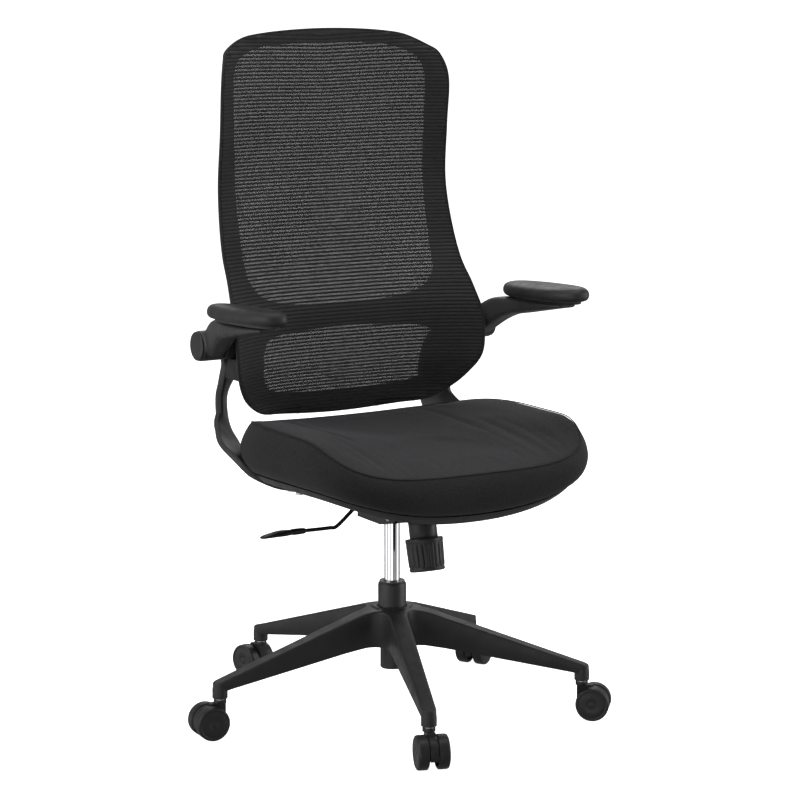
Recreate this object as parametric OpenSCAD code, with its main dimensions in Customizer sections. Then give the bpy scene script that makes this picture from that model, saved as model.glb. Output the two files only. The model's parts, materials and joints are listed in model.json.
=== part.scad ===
// Swivel office chair: five-arm base on twin-wheel casters, gas lift, tilt mechanism,
// waterfall seat, wrap-around mesh back and flip-up arms.
// Origin on the floor under the swivel axis, +Z up, the sitter faces -Y, +X is the sitter's left.

/* [Base] */
// Radius from the swivel axis to the caster stems
base_reach = 336.5; // [300:0.5:350]
// Turn of the five arms about the swivel axis
base_turn = 34.6; // [0:0.1:72]
// Height of the top of the hub
hub_top_z = 193; // [180:1:210]
// Height of the underside of the hub
hub_bottom_z = 123; // [110:1:140]
// Radius of the hub
hub_r = 34; // [30:0.5:40]
// Width of an arm where it meets the hub
arm_w_hub = 36; // [28:1:40]
// Width of an arm at its tip
arm_w_tip = 25; // [20:1:27]

/* [Casters] */
// Diameter of the wheels
wheel_d = 59; // [50:1:60]
// Width of one wheel
wheel_w = 19; // [15:0.5:20]
// Gap between the two wheels of a caster
wheel_gap = 16; // [14:0.5:20]
// Horizontal distance from the stem to the axle
caster_trail = 21; // [15:0.5:25]
// Height of the underside of the stem sockets
socket_z = 68; // [66:0.5:75]
// Directions in which the five casters trail
caster_headings = [33, 105, 176, 252, 320]; // [0:1:360]

/* [Gas lift] */
// Outer diameter of the column
column_d = 50; // [48:0.5:52]
// Height of the column's top
column_top_z = 237; // [220:1:250]
// Height of the column's lower end
column_bottom_z = 80; // [75:1:100]
// Diameter of the chromed cylinder
cylinder_d = 28; // [27.5:0.1:28.5]
// Height of the cylinder's top at full lift
cylinder_top_z = 374; // [372:1:376]

/* [Tilt mechanism] */
// Half width of the housing
housing_hw = 42; // [40:1:46]
// Front end of the housing
housing_front_y = -122; // [-130:1:-110]
// Rear end of the housing
housing_rear_y = 50; // [45:1:60]
// Y of the tilt pin
tilt_y = -75; // [-85:1:-60]
// Height of the tilt pin
tilt_z = 371; // [369:1:373]
// Forward lean of the tension knob
knob_lean = 12.8; // [5:0.1:20]
// Largest diameter of the tension knob
knob_d = 66; // [50:1:70]

/* [Seat] */
// Half width of the seat cushion
seat_hw = 265; // [240:1:270]
// Front edge of the seat cushion
seat_front_y = -307; // [-320:1:-295]
// Rear edge of the seat cushion
seat_rear_y = 190; // [180:1:195]
// Squareness of the seat outline
seat_power = 4; // [3:0.1:4.5]
// Share by which the seat narrows towards its rear and widens towards its front
seat_taper = 0.055; // [0:0.005:0.08]
// Height of the seam at the middle of the front
seam_front_z = 480; // [470:1:490]
// Height of the underside of the shell at the mechanism
shell_floor_z = 412; // [410:1:416]

/* [Back] */
// Thickness of the back frame
frame_t = 10; // [8:0.5:14]
// Gap between the frame and the mesh
mesh_gap = 0.4; // [0.3:0.1:1]
// Thickness of the mesh
mesh_t = 1.6; // [1:0.1:2]

/* [Arms] */
// Y of the flip-up pivots
pivot_y = 162; // [158:1:166]
// Height of the flip-up pivots
pivot_z = 656; // [650:1:662]
// Diameter of the hubs of the arms
arm_hub_d = 53.5; // [48:0.5:55]
// Distance of the hubs' outer faces from the centre plane
arm_hub_x = 299.5; // [292:0.5:302]
// Length of an arm pad
pad_l = 240; // [230:1:250]
// Width of an arm pad
pad_w = 78; // [74:1:84]
// Thickness of an arm pad
pad_t = 26; // [20:1:28]
// Angle by which the pads rise towards the front
pad_tilt = 2.8; // [0:0.1:5]
// Centre of the arm pad, for the sitter's left side
pad_centre = [295, -29, 735]; // [-100:1:800]

/* [Hidden] */
$fn = 64;

socket_d = 27;                     // round socket at the end of each arm
stem_r = 5.5;                      // caster stem
sleeve_r = 8;                      // steel sleeve round the stem
sleeve_h = 24;
axle_r = 4;                        // caster axle
axle_hl = 25.8;                    // half its length
running = 0.05;                    // radial clearance of shafts that turn
wheel_z = wheel_d / 2;             // height of the axles
hood_hw = wheel_gap / 2 - 1;       // half width of the caster's centre web
bushing_h = 60;                    // guide bushing inside the column
column_wall = 2.5;
rod_r = 5;                         // piston rod inside the cylinder
cylinder_low_z = 184;              // lower end of the cylinder at full lift
taper_z = 350;                     // where the cylinder's taper starts
button_r = 4;
knob_top = [0, -103.5, 364.3];     // where the knob's axis meets the housing floor
plate_z = shell_floor_z - 4;       // underside of the seat plate
seat_cy = (seat_front_y + seat_rear_y) / 2;
seat_hd = (seat_rear_y - seat_front_y) / 2;
seat_turns = 64;                   // points round each ring of the seat
seat_bolt_points = [for (x = [-65, 65], y = [-115, 95]) [x, y]];
bracket_bolt_points = [for (x = [-158, 158], y = [48, 78]) [x, y]];
bolt_head_z = 403.5;               // top of the bolts' heads, under the brackets' feet
link_z = 591;                      // underside of the links between brackets and back frame
link_h = 36;
screw_points = [for (s = [-1, 1], z = [600, 618]) [s * 214, z]];
screw_y = 129;                     // front ends of those links' screws
screw_l = 37;

// ---------------------------------------------------------------- helpers

function sum(v, i = 0) = i < len(v) ? v[i] + sum(v, i + 1) : 0 * v[0];
function mean(v) = sum(v) / len(v);
function mix(a, b, t) = a + (b - a) * t;
function clamp01(t) = min(1, max(0, t));
function ease(t) = let (s = clamp01(t)) s * s * (3 - 2 * s);
function unit(v) = v / norm(v);
function spow(v, p) = sign(v) * pow(abs(v), p);

// Catmull-Rom value between b and c
function spline(a, b, c, d, t) = 0.5 * (2 * b + (c - a) * t + (2 * a - 5 * b + 4 * c - d) * t * t
    + (3 * b - a - 3 * c + d) * t * t * t);
function smooth(list, steps) = let (n = len(list)) [
    for (i = [0:n - 2], k = [0:steps - 1])
        spline(list[max(i - 1, 0)], list[i], list[i + 1], list[min(i + 2, n - 1)], k / steps),
    list[n - 1]];

// Value of a table of rows [key, a, b, ...] at a key between its rows
function row_at(table, key) = let (
        n = len(table),
        i = min(n - 2, max(0, sum([for (r = table) r[0] <= key ? 1 : 0]) - 1)),
        t = (key - table[i][0]) / (table[i + 1][0] - table[i][0]))
    spline(table[max(i - 1, 0)], table[i], table[i + 1], table[min(i + 2, n - 1)], t);

// Closed solid through rings of points that turn anticlockwise about their travel, with a fan
// closing each end
module skin(rings) {
    n = len(rings[0]);
    m = len(rings);
    points = concat([for (r = rings) each r], [mean(rings[0]), mean(rings[m - 1])]);
    walls = [for (i = [0:m - 2], k = [0:n - 1]) let (
            a = i * n + k, b = i * n + (k + 1) % n) each [[a, b + n, b], [a, a + n, b + n]]];
    caps = [for (k = [0:n - 1]) each [
            [n * m, k, (k + 1) % n],
            [n * m + 1, (m - 1) * n + (k + 1) % n, (m - 1) * n + k]]];
    polyhedron(points, concat(walls, caps), convexity = 8);
}

// Ring of an oblong section: half sizes a along u and b along v, centred on p
function section(p, u, v, a, b, power = 4, n = 16) = [for (k = [0:n - 1]) let (t = 360 * k / n)
    p + u * a * spow(cos(t), 2 / power) + v * b * spow(sin(t), 2 / power)];

// Rings along a path whose rows are [x, y, z, wx, wy, wz, half width, half thickness]
function strap_rings(rows, steps, power = 4, n = 16) = let (
        s = smooth(rows, steps), m = len(s),
        at = [for (r = s) [r[0], r[1], r[2]]],
        across = [for (r = s) unit([r[3], r[4], r[5]])])
    [for (i = [0:m - 1]) let (
            run = unit(at[min(i + 1, m - 1)] - at[max(i - 1, 0)]),
            w = unit(across[i] - run * (across[i] * run)),
            out = cross(run, w))
        section(at[i], w, out, s[i][6], s[i][7], power, n)];

function mirror_rows(rows) = [for (r = rows) [-r[0], r[1], r[2], -r[3], r[4], r[5], r[6], r[7]]];

// Bent sheet between a front and a back grid of points, with only the cells that closed[][] names
module pierced_sheet(front, back, closed) {
    rows = len(front);
    cols = len(front[0]);
    half = rows * cols;
    function id(i, j, side) = side * half + i * cols + j;
    function solid_at(i, j) = i >= 0 && j >= 0 && i < rows - 1 && j < cols - 1 && closed[i][j];
    faces = [for (i = [0:rows - 2], j = [0:cols - 2]) if (closed[i][j]) each [
        [id(i, j, 0), id(i + 1, j, 0), id(i + 1, j + 1, 0)],
        [id(i, j, 0), id(i + 1, j + 1, 0), id(i, j + 1, 0)],
        [id(i, j, 1), id(i + 1, j + 1, 1), id(i + 1, j, 1)],
        [id(i, j, 1), id(i, j + 1, 1), id(i + 1, j + 1, 1)],
        each solid_at(i - 1, j) ? [] : [[id(i, j, 0), id(i, j + 1, 0), id(i, j + 1, 1)],
            [id(i, j, 0), id(i, j + 1, 1), id(i, j, 1)]],
        each solid_at(i + 1, j) ? [] : [[id(i + 1, j + 1, 0), id(i + 1, j, 0), id(i + 1, j, 1)],
            [id(i + 1, j + 1, 0), id(i + 1, j, 1), id(i + 1, j + 1, 1)]],
        each solid_at(i, j - 1) ? [] : [[id(i + 1, j, 0), id(i, j, 0), id(i, j, 1)],
            [id(i + 1, j, 0), id(i, j, 1), id(i + 1, j, 1)]],
        each solid_at(i, j + 1) ? [] : [[id(i, j + 1, 0), id(i + 1, j + 1, 0), id(i + 1, j + 1, 1)],
            [id(i, j + 1, 0), id(i + 1, j + 1, 1), id(i, j + 1, 1)]]]];
    polyhedron(concat([for (r = front) each r], [for (r = back) each r]), faces, convexity = 10);
}

module x_cylinder(r, x0, x1, y = 0, z = 0) translate([x0, y, z]) rotate([0, 90, 0])
    cylinder(r = r, h = x1 - x0);

module tube(r_out, r_in, z0, z1) translate([0, 0, z0]) difference() {
    cylinder(r = r_out, h = z1 - z0);
    translate([0, 0, -1]) cylinder(r = r_in, h = z1 - z0 + 2);
}

// Plate in the Y-Z plane, from half width x0 to x1
module side_plate(points, x0, x1) translate([x0, 0, 0]) rotate([90, 0, 90])
    linear_extrude(x1 - x0) polygon(points);

// ---------------------------------------------------------------- base

module each_arm() for (i = [0:4]) rotate([0, 0, base_turn + 72 * i]) children();

// Arm seen from the side, from inside the hub out to the stem
module arm_side() rotate([90, 0, 0]) translate([0, 0, -40]) linear_extrude(80) polygon([
    [14, hub_bottom_z + 3], [60, hub_bottom_z + 2], [100, hub_bottom_z - 3],
    [base_reach - 17, 84], [base_reach, 80], [base_reach, 98], [66, hub_top_z - 8],
    [14, hub_top_z - 2]]);

module arm_plan() linear_extrude(400) polygon([
    [14, -arm_w_hub / 2 - 7], [hub_r + 4, -arm_w_hub / 2 - 3], [hub_r + 30, -arm_w_hub / 2 + 1.5],
    [base_reach, -arm_w_tip / 2], [base_reach, arm_w_tip / 2], [hub_r + 30, arm_w_hub / 2 - 1.5],
    [hub_r + 4, arm_w_hub / 2 + 3], [14, arm_w_hub / 2 + 7]]);

module star_base() color([0.13, 0.13, 0.14]) difference() {
    union() {
        each_arm() intersection() {
            arm_side();
            arm_plan();
        }
        each_arm() translate([base_reach, 0, 0]) rotate_extrude() polygon([[0, socket_z],
            [socket_d / 2, socket_z], [socket_d / 2, 93], [socket_d / 2 - 5, 99], [0, 99]]);
        translate([0, 0, hub_bottom_z]) cylinder(r = hub_r, h = hub_top_z - hub_bottom_z);
    }
    translate([0, 0, 100]) cylinder(d = column_d, h = 120);
    each_arm() translate([base_reach, 0, socket_z - 1]) cylinder(r = sleeve_r, h = sleeve_h + 1);
}

module gas_column() color([0.1, 0.1, 0.1]) difference() {
    union() {
        translate([0, 0, hub_bottom_z]) cylinder(d = column_d, h = column_top_z - hub_bottom_z - 4);
        translate([0, 0, column_top_z - 4]) cylinder(d1 = column_d, d2 = column_d - 6, h = 4);
        translate([0, 0, column_bottom_z]) cylinder(d = 42, h = hub_bottom_z - column_bottom_z);
    }
    translate([0, 0, hub_bottom_z + 8]) cylinder(d = column_d - 2 * column_wall, h = 200);
    translate([0, 0, column_bottom_z + 3]) cylinder(d = 36, h = 60);
    translate([0, 0, column_bottom_z - 1]) cylinder(r = rod_r + 1.5, h = 10);
}

module guide_bushing() color([0.05, 0.05, 0.05])
    tube(column_d / 2 - column_wall, cylinder_d / 2 + running, column_top_z - bushing_h, column_top_z + 1);

module thrust_bearing() color([0.6, 0.6, 0.62])
    tube(14, rod_r + 0.4, column_bottom_z + 3, column_bottom_z + 7);

module caster_sleeves() color([0.2, 0.2, 0.2]) each_arm() translate([base_reach, 0, 0])
    tube(sleeve_r, stem_r + running, socket_z, socket_z + sleeve_h);

// ---------------------------------------------------------------- gas lift

module piston_rod() color([0.75, 0.75, 0.77]) union() {
    translate([0, 0, column_bottom_z + 7.2]) cylinder(r = 9, h = 3);
    translate([0, 0, column_bottom_z - 3]) cylinder(r = rod_r, h = cylinder_low_z + 20 - column_bottom_z);
    translate([0, 0, cylinder_low_z + 14]) cylinder(r = cylinder_d / 2 - 2 - running, h = 8);
}

module rod_clip() color([0.6, 0.6, 0.62]) difference() {
    translate([0, 0, column_bottom_z - 2]) cylinder(r = 8, h = 1.5);
    translate([0, 0, column_bottom_z - 3]) cylinder(r = rod_r, h = 4);
}

// Taper at the top of the cylinder, which the mechanism's socket grips
module taper() translate([0, 0, taper_z])
    cylinder(r1 = cylinder_d / 2, r2 = cylinder_d / 2 - 0.7, h = cylinder_top_z - taper_z);

module gas_cylinder() color([0.85, 0.85, 0.87]) difference() {
    union() {
        translate([0, 0, cylinder_low_z]) cylinder(d = cylinder_d, h = taper_z - cylinder_low_z);
        taper();
    }
    translate([0, 0, cylinder_low_z + 8]) cylinder(r = cylinder_d / 2 - 2, h = taper_z - cylinder_low_z - 8);
    translate([0, 0, cylinder_low_z - 1]) cylinder(r = rod_r + running, h = 20);
    translate([0, 0, cylinder_top_z - 14]) cylinder(r = button_r + running, h = 40);
}

module valve_button() color([0.7, 0.7, 0.72])
    translate([0, 0, cylinder_top_z - 9]) cylinder(r = button_r, h = 13);

// ---------------------------------------------------------------- tilt mechanism

housing_z = 348;                   // underside of the housing at its rear
housing_out = [[housing_front_y, housing_z + 20.5], [-45, housing_z + 3], [-30, housing_z],
    [housing_rear_y, housing_z], [housing_rear_y, housing_z + 27], [-60, housing_z + 40],
    [housing_front_y, housing_z + 40]];
housing_in = [[housing_front_y + 3, housing_z + 23.5], [-44.5, housing_z + 6],
    [-30, housing_z + 3], [housing_rear_y - 3, housing_z + 3],
    [housing_rear_y - 3, housing_z + 60], [housing_front_y + 3, housing_z + 60]];
hub_z = housing_z + 0.5;           // underside of the taper socket
lever_y = 0;
lever_z = 377;                     // height of the lever's pivot
lever_pivot_x = -27;
lever_pin_r = 2;                   // cross pin on which the lever turns in the lock slider
slider_x0 = -32.5;                 // outer end of the lock slider

module mechanism_housing() color([0.12, 0.12, 0.13]) difference() {
    union() {
        difference() {
            side_plate(housing_out, -housing_hw, housing_hw);
            side_plate(housing_in, -housing_hw + 3, housing_hw - 3);
        }
        translate([0, 0, hub_z]) cylinder(r = 21, h = cylinder_top_z - hub_z);
    }
    translate([0, 0, housing_z - 8]) cylinder(d = cylinder_d, h = taper_z - housing_z + 8);
    taper();
    x_cylinder(5, -70, 70, tilt_y, tilt_z);
    x_cylinder(6, -70, -30, lever_y, lever_z);
    knob_frame() translate([0, 0, -10]) cylinder(r = 5, h = 30);
}

module tilt_pin() color([0.7, 0.7, 0.72]) union() {
    x_cylinder(5, -housing_hw - 9, housing_hw + 9, tilt_y, tilt_z);
    for (s = [-1, 1]) x_cylinder(7.5, s * (housing_hw + 10) - 1, s * (housing_hw + 10) + 1, tilt_y, tilt_z);
}

module knob_frame() translate(knob_top) rotate([-knob_lean, 0, 0]) children();

module spring_cup() color([0.1, 0.1, 0.1]) knob_frame() difference() {
    translate([0, 0, -32]) cylinder(d = 49, h = 31.8);
    translate([0, 0, -34]) cylinder(d = 44, h = 31);
    translate([0, 0, -10]) cylinder(r = 6, h = 20);
}

module tension_spring() color([0.6, 0.6, 0.62]) knob_frame() for (k = [0:8])
    translate([0, 0, -9 - 7.2 * k]) rotate_extrude() translate([16, 0]) circle(r = 2.1);

module tension_screw() color([0.7, 0.7, 0.72]) knob_frame() union() {
    translate([0, 0, -78]) cylinder(r = 4.9, h = 94);
    translate([0, 0, -74]) cylinder(r = 10, h = 4);
}

module tension_knob() color([0.1, 0.1, 0.1]) knob_frame() difference() {
    union() {
        translate([0, 0, -83.5]) cylinder(d1 = knob_d - 5, d2 = knob_d, h = 53.5);
        translate([0, 0, -87.5]) cylinder(d1 = knob_d - 13, d2 = knob_d - 5, h = 4);
    }
    translate([0, 0, -74]) cylinder(d = 51, h = 60);
    translate([0, 0, -78]) cylinder(r = 4.9, h = 10);
    for (k = [0:17]) rotate([0, 0, 20 * k]) translate([knob_d / 2 - 3.5, -1.5, -81]) cube([6, 3, 46]);
}

module lock_slider() color([0.2, 0.2, 0.2]) difference() {
    translate([slider_x0, lever_y - 10, lever_z - 12]) cube([11, 20, 20]);
    x_cylinder(6, -70, 0, lever_y, lever_z);
    lever_pin(lever_pin_r + running, 12);
}

module lever_pin(r, half) translate([lever_pivot_x, lever_y - half, lever_z]) rotate([-90, 0, 0])
    cylinder(r = r, h = 2 * half);

// Bent rod from inside the housing out to the paddle
lever_path = [[4, lever_z + 5], [-14, lever_z + 4], [lever_pivot_x, lever_z], [-50, lever_z],
    [-64, lever_z + 2], [-77, lever_z - 3], [-110, 347.5], [-127, 345.5], [-176, 346]];

module lever_rod() color([0.08, 0.08, 0.08]) union() {
    skin([for (p = smooth(lever_path, 4))
        section([p[0], lever_y, p[1]], [0, 0, 1], [0, 1, 0], 3.4, 3.4, 2, 12)]);
    lever_pin(lever_pin_r, 9.5);
}

module lever_paddle() color([0.08, 0.08, 0.08]) skin([
    section([-176, lever_y, 346], [0, 0, 1], [0, 1, 0], 5, 5, 2, 16),
    section([-200, lever_y, 346], [0, 0, 1], [0, 1, 0], 5, 7, 2.5, 16),
    section([-206, lever_y, 346], [0, 0, 1], [0, 1, 0], 4.5, 9, 3, 16),
    section([-218, lever_y, 346], [0, 0, 1], [0, 1, 0], 4.5, 12, 3, 16),
    section([-236, lever_y, 345], [0, 0, 1], [0, 1, 0], 3.5, 12, 3, 16),
    section([-259, lever_y, 342], [0, 0, 1], [0, 1, 0], 1.5, 7, 3, 16)]);

// ---------------------------------------------------------------- seat

// Point of the outline scaled by k, at the angle t round the seat's centre
function seat_point(k, t) = let (
        r = pow(pow(abs(cos(t)), seat_power) + pow(abs(sin(t)), seat_power), -1 / seat_power),
        u = r * cos(t), v = r * sin(t))
    [k * seat_hw * u * (1 - seat_taper * spow(v, seat_power / 2)), seat_cy + k * seat_hd * v];

// Lower edge of the shell and height of the cushion's seam at a point of the rim
function rim_z(p) = 393.5 + 32 * pow(abs(p[0]) / 200, 2.2) - 8.5 * ease((p[1] + 260) / 350)
    + 40 * ease((p[1] + 20) / 170) * clamp01(1 - pow(p[0] / 200, 2));
function seam_z(p) = seam_front_z + (25.5 + 4 * pow(p[0] / 240, 2)) * ease((p[1] + 314) / 155)
    + 17.5 * pow(p[0] / 240, 4);

shell_k = 0.86;                    // size of the shell's lower edge against the outline
lip_k = 0.925;                     // size of the shell's upper edge
function floor_z(s, t) = mix(shell_floor_z, rim_z(seat_point(shell_k, t)), ease((s - 0.6) / 0.4));

function seat_ring(k, z) = [for (i = [0:seat_turns - 1]) let (
        t = 360 * i / seat_turns, p = seat_point(k, t)) [p[0], p[1], z[i]]];
function seat_zs(f) = [for (i = [0:seat_turns - 1]) f(360 * i / seat_turns)];
turns = [for (i = [0:seat_turns - 1]) 360 * i / seat_turns];

// Ring at share s of the shell's lower edge, lifted above the shell's underside
function floor_ring(s, up, k = shell_k) = seat_ring(k * s, [for (t = turns) floor_z(s, t) + up]);

module seat_plate() color([0.15, 0.15, 0.16]) difference() {
    union() {
        translate([-80, -128, plate_z]) cube([160, 240, 4]);
        for (s = [-1, 1]) side_plate([[-106, plate_z + 1], [-90, 360], [-60, 360], [-30, plate_z + 1]],
            s * (housing_hw + 3.5) - 2.5, s * (housing_hw + 3.5) + 2.5);
    }
    x_cylinder(5 + running, -90, 90, tilt_y, tilt_z);
    for (p = seat_bolt_points) translate([p[0], p[1], plate_z - 1]) cylinder(r = 3.2, h = 8);
}

module seat_bolts() color([0.55, 0.55, 0.57]) for (p = seat_bolt_points) translate([p[0], p[1], 0]) {
    translate([0, 0, plate_z - 4]) cylinder(r = 6, h = 4);
    translate([0, 0, plate_z - 1]) cylinder(r = 3.2, h = 14);
}

// Holes of the bolts that hold the plate and the brackets
module seat_cuts() {
    for (p = seat_bolt_points) translate([p[0], p[1], plate_z - 1]) cylinder(r = 3.2, h = 16);
    for (p = bracket_bolt_points) translate([p[0], p[1], bolt_head_z - 5]) cylinder(r = 4, h = 26);
}

// Flat and rising part of the floor, ring by ring from the middle outwards
floor_steps = [0.3, 0.6, 0.7, 0.8, 0.88];
floor_inwards = [0.88, 0.8, 0.7, 0.6, 0.3];

module seat_shell() color([0.2, 0.2, 0.21]) difference() {
    skin([
        for (s = floor_steps) floor_ring(s, 0),
        floor_ring(0.94, 0), floor_ring(1, 0),
        seat_ring(mix(shell_k, lip_k, 0.5), [for (t = turns) floor_z(1, t) + 5]),
        seat_ring(lip_k, [for (t = turns) floor_z(1, t) + 15]),
        seat_ring(lip_k - 0.015, [for (t = turns) floor_z(1, t) + 15]),
        floor_ring(0.965, 3),
        for (s = floor_inwards) floor_ring(s, 3)]);
    seat_cuts();
}

module seat_pan() color([0.5, 0.4, 0.28]) difference() {
    skin([
        for (s = floor_steps) floor_ring(s, 4),
        floor_ring(0.92, 6.5), floor_ring(0.92, 10),
        for (s = floor_inwards) floor_ring(s, 14.1)]);
    seat_cuts();
}

// Ring of the cushion's side: share f of the way up from the shell's lip to the seam
function band_ring(k, f, up = 0) = seat_ring(k, [for (t = turns) let (p = seat_point(1, t))
    mix(floor_z(1, t) + 16, seam_z(p), f) + up]);
function top_ring(s, dish) = seat_ring(0.95 * s, [for (t = turns) let (p = seat_point(1, t))
    mix(497, seam_z(p) + dish, pow(s, 1.6))]);

module seat_cushion() color([0.16, 0.16, 0.17]) skin([
    for (s = floor_steps) floor_ring(s, 15.2),
    band_ring(0.92, 0),
    band_ring(0.965, 0.12), band_ring(0.992, 0.33), band_ring(1, 0.58), band_ring(0.985, 0.83),
    band_ring(0.957, 1), top_ring(0.965, 1.7), top_ring(0.88, 2), top_ring(0.7, 1),
    top_ring(0.45, 0.2), top_ring(0.15, 0)]);

// Room that the shell and the cushion take up, a little larger all round
module seat_space() skin([
    for (s = floor_steps) floor_ring(s, -0.3),
    floor_ring(0.94, -0.3), floor_ring(1.003, -0.3),
    seat_ring(mix(shell_k, lip_k, 0.5) + 0.002, [for (t = turns) floor_z(1, t) + 4.7]),
    seat_ring(lip_k + 0.002, [for (t = turns) floor_z(1, t) + 14.7]),
    band_ring(0.935, 0), band_ring(0.968, 0.12), band_ring(0.995, 0.33), band_ring(1.003, 0.58),
    band_ring(0.988, 0.83), band_ring(0.962, 1), top_ring(0.965, 2.3), top_ring(0.5, 1)]);

// ---------------------------------------------------------------- brackets

// Rows for the sitter's left: under the seat, round its rear corner and up to the pivot
bracket_rows = [
    [150, 62, 408.3, 0, 1, 0, 30, 4.5],
    [198, 74, 417.5, -0.05, 1, 0, 31, 5],
    [232, 92, 438, -0.2, 1, 0, 31, 6],
    [243, 128, 462, -0.45, 0.9, 0.1, 32, 6.5],
    [229, 182, 483.5, -0.55, 0.85, 0.1, 32, 7.2],
    [218.5, 220, 511, -0.55, 0.83, 0.05, 32, 7.6],
    [217, 227, 551, -0.58, 0.81, 0, 31, 7.8],
    [212, 214.5, 585, -0.7, 0.7, 0, 29, 8],
    [210, 197, 620, -0.92, 0.38, 0, 25, 8.5],
    [222, 178, 648, -1, 0, 0, 24, 9]];

module bracket(rows, side) {
    skin(strap_rings(rows, 4));
    x_cylinder(arm_hub_d / 2, side > 0 ? 233 : -251.5, side > 0 ? 251.5 : -233, pivot_y, pivot_z);
}

module bracket_cuts() {
    x_cylinder(6, -260, 260, pivot_y, pivot_z);
    for (p = bracket_bolt_points) translate([p[0], p[1], 380]) cylinder(r = 4, h = 80);
    seat_space();
}
module bracket_left() color([0.13, 0.13, 0.14]) difference() {
    bracket(bracket_rows, 1);
    bracket_cuts();
}
module bracket_right() color([0.13, 0.13, 0.14]) difference() {
    bracket(mirror_rows(bracket_rows), -1);
    bracket_cuts();
}

// Bolts from under each bracket's foot into the seat pan
module bracket_bolts() color([0.55, 0.55, 0.57]) for (p = bracket_bolt_points) translate([p[0], p[1], 0]) {
    translate([0, 0, bolt_head_z - 4]) cylinder(r = 7, h = 4);
    translate([0, 0, bolt_head_z - 1]) cylinder(r = 4, h = 22);
}

module arm_pivots() color([0.7, 0.7, 0.72]) {
    x_cylinder(6, 233, 290, pivot_y, pivot_z);
    x_cylinder(6, -290, -233, pivot_y, pivot_z);
}

// ---------------------------------------------------------------- back

// Rows of the back from bottom to top: [height at the edge, half width, y at the edge,
// height at the centre, y at the centre]
back_rows = [
    [524, 168, 166, 511, 200],
    [546, 205, 145, 538, 190],
    [574, 230, 121, 570, 176],
    [612, 245.5, 101, 612, 162],
    [683, 250, 102, 683, 162],
    [734, 246.5, 129, 734, 178],
    [810, 235, 177, 810, 204],
    [915, 229.7, 202, 915, 227],
    [1018, 228, 194.5, 1018, 236],
    [1102, 228, 187.5, 1106, 241],
    [1145, 218, 200, 1152, 242],
    [1163, 206, 220, 1178, 243],
    [1184, 168, 241, 1196, 243]];
back_power = 3.5;

function back_point(edge_z, u, behind) = let (r = row_at(back_rows, edge_z)) [
    r[1] * u,
    mix(r[4], r[2], pow(abs(u), back_power)) + behind,
    mix(r[3], r[0], u * u)];

back_us = [-1, -0.93, -0.83, -0.7, -0.5, -0.25, 0, 0.25, 0.5, 0.7, 0.83, 0.93, 1];
back_zs = [524, 537, 555, 575, 600, 650, 690, 725, 770, 830, 900, 980, 1060, 1110, 1138, 1154, 1169, 1184];
function back_grid(behind) = [for (z = back_zs) [for (u = back_us) back_point(z, u, behind)]];
// Cells of the frame that are solid: border, lumbar band and bottom band
frame_cells = [for (i = [0:len(back_zs) - 2]) [for (j = [0:len(back_us) - 2]) let (
        z = (back_zs[i] + back_zs[i + 1]) / 2, u = abs(back_us[j] + back_us[j + 1]) / 2)
    u > 0.83 || z < 555 || z > 1154 || (z > 650 && z < 725)]];

module frame_sheet() pierced_sheet(back_grid(0), back_grid(frame_t), frame_cells);

module screw_holes() for (p = screw_points) translate([p[0], screw_y, p[1]]) rotate([-90, 0, 0])
    cylinder(r = 3, h = screw_l);

module back_frame() color([0.09, 0.09, 0.09]) difference() {
    frame_sheet();
    screw_holes();
}

// Part of the mesh between two of the heights in back_zs
module mesh_sheet(first, last) {
    front = back_grid(-mesh_gap - mesh_t);
    back = back_grid(-mesh_gap);
    pierced_sheet([for (i = [first:last]) front[i]], [for (i = [first:last]) back[i]],
        [for (i = [first:last - 1]) [for (j = [0:len(back_us) - 2]) true]]);
}
mesh_split = 6;                    // where the mesh's two stretches meet, behind the lumbar band
module back_mesh_upper() color([0.25, 0.25, 0.26]) mesh_sheet(mesh_split, len(back_zs) - 1);
module back_mesh_lower() color([0.25, 0.25, 0.26]) mesh_sheet(0, mesh_split);

// Block between each bracket and the rear of the back frame, trimmed to both. Copies of the frame
// clear the room in front of it.
module back_link(side) difference() {
    translate([0, 0, link_z]) linear_extrude(link_h) polygon([for (p = [[206, 128], [226, 114], [230, 187],
        [206, 202]]) [side * p[0], p[1]]]);
    frame_sheet();
    translate([0, -20, 0]) frame_sheet();
    translate([0, -9.5, 0]) frame_sheet();
    bracket(side > 0 ? bracket_rows : mirror_rows(bracket_rows), side);
    screw_holes();
}
module back_links() color([0.1, 0.1, 0.1]) for (s = [-1, 1]) back_link(s);

module back_screws() color([0.55, 0.55, 0.57]) for (p = screw_points) translate([p[0], screw_y, p[1]])
    rotate([-90, 0, 0]) cylinder(r = 3, h = screw_l);

// ---------------------------------------------------------------- arms

// Rows for the sitter's left: hub, sweep, and the flat under the pad
arm_rows = [
    [272, 160, 657, 1, 0, 0, 19, 24],
    [272.5, 134, 671, 1, 0, 0, 19, 26],
    [280, 99, 688, 1, 0, 0, 20, 20.5],
    [287, 60, 697, 1, 0, 0, 21, 14.5],
    [293, 20, 702.4, 1, 0, 0, 24, 12],
    [295, -30, 708.7, 1, 0, 0, 26, 8.5],
    [295, -76, 714.3, 1, 0, 0, 24, 5.2],
    [295, -104, 717.5, 1, 0, 0, 17, 3.4]];
cap_x = arm_hub_x - 3;             // inner face of the hub caps

module arm(rows, side) {
    skin(strap_rings(rows, 4));
    x_cylinder(arm_hub_d / 2, side > 0 ? 252 : 0.3 - cap_x, side > 0 ? cap_x - 0.3 : -252, pivot_y, pivot_z);
}
module arm_left() color([0.12, 0.12, 0.13]) difference() {
    arm(arm_rows, 1);
    x_cylinder(6 + running, 240, 290.5, pivot_y, pivot_z);
}
module arm_right() color([0.12, 0.12, 0.13]) difference() {
    arm(mirror_rows(arm_rows), -1);
    x_cylinder(6 + running, -290.5, -240, pivot_y, pivot_z);
}

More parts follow.
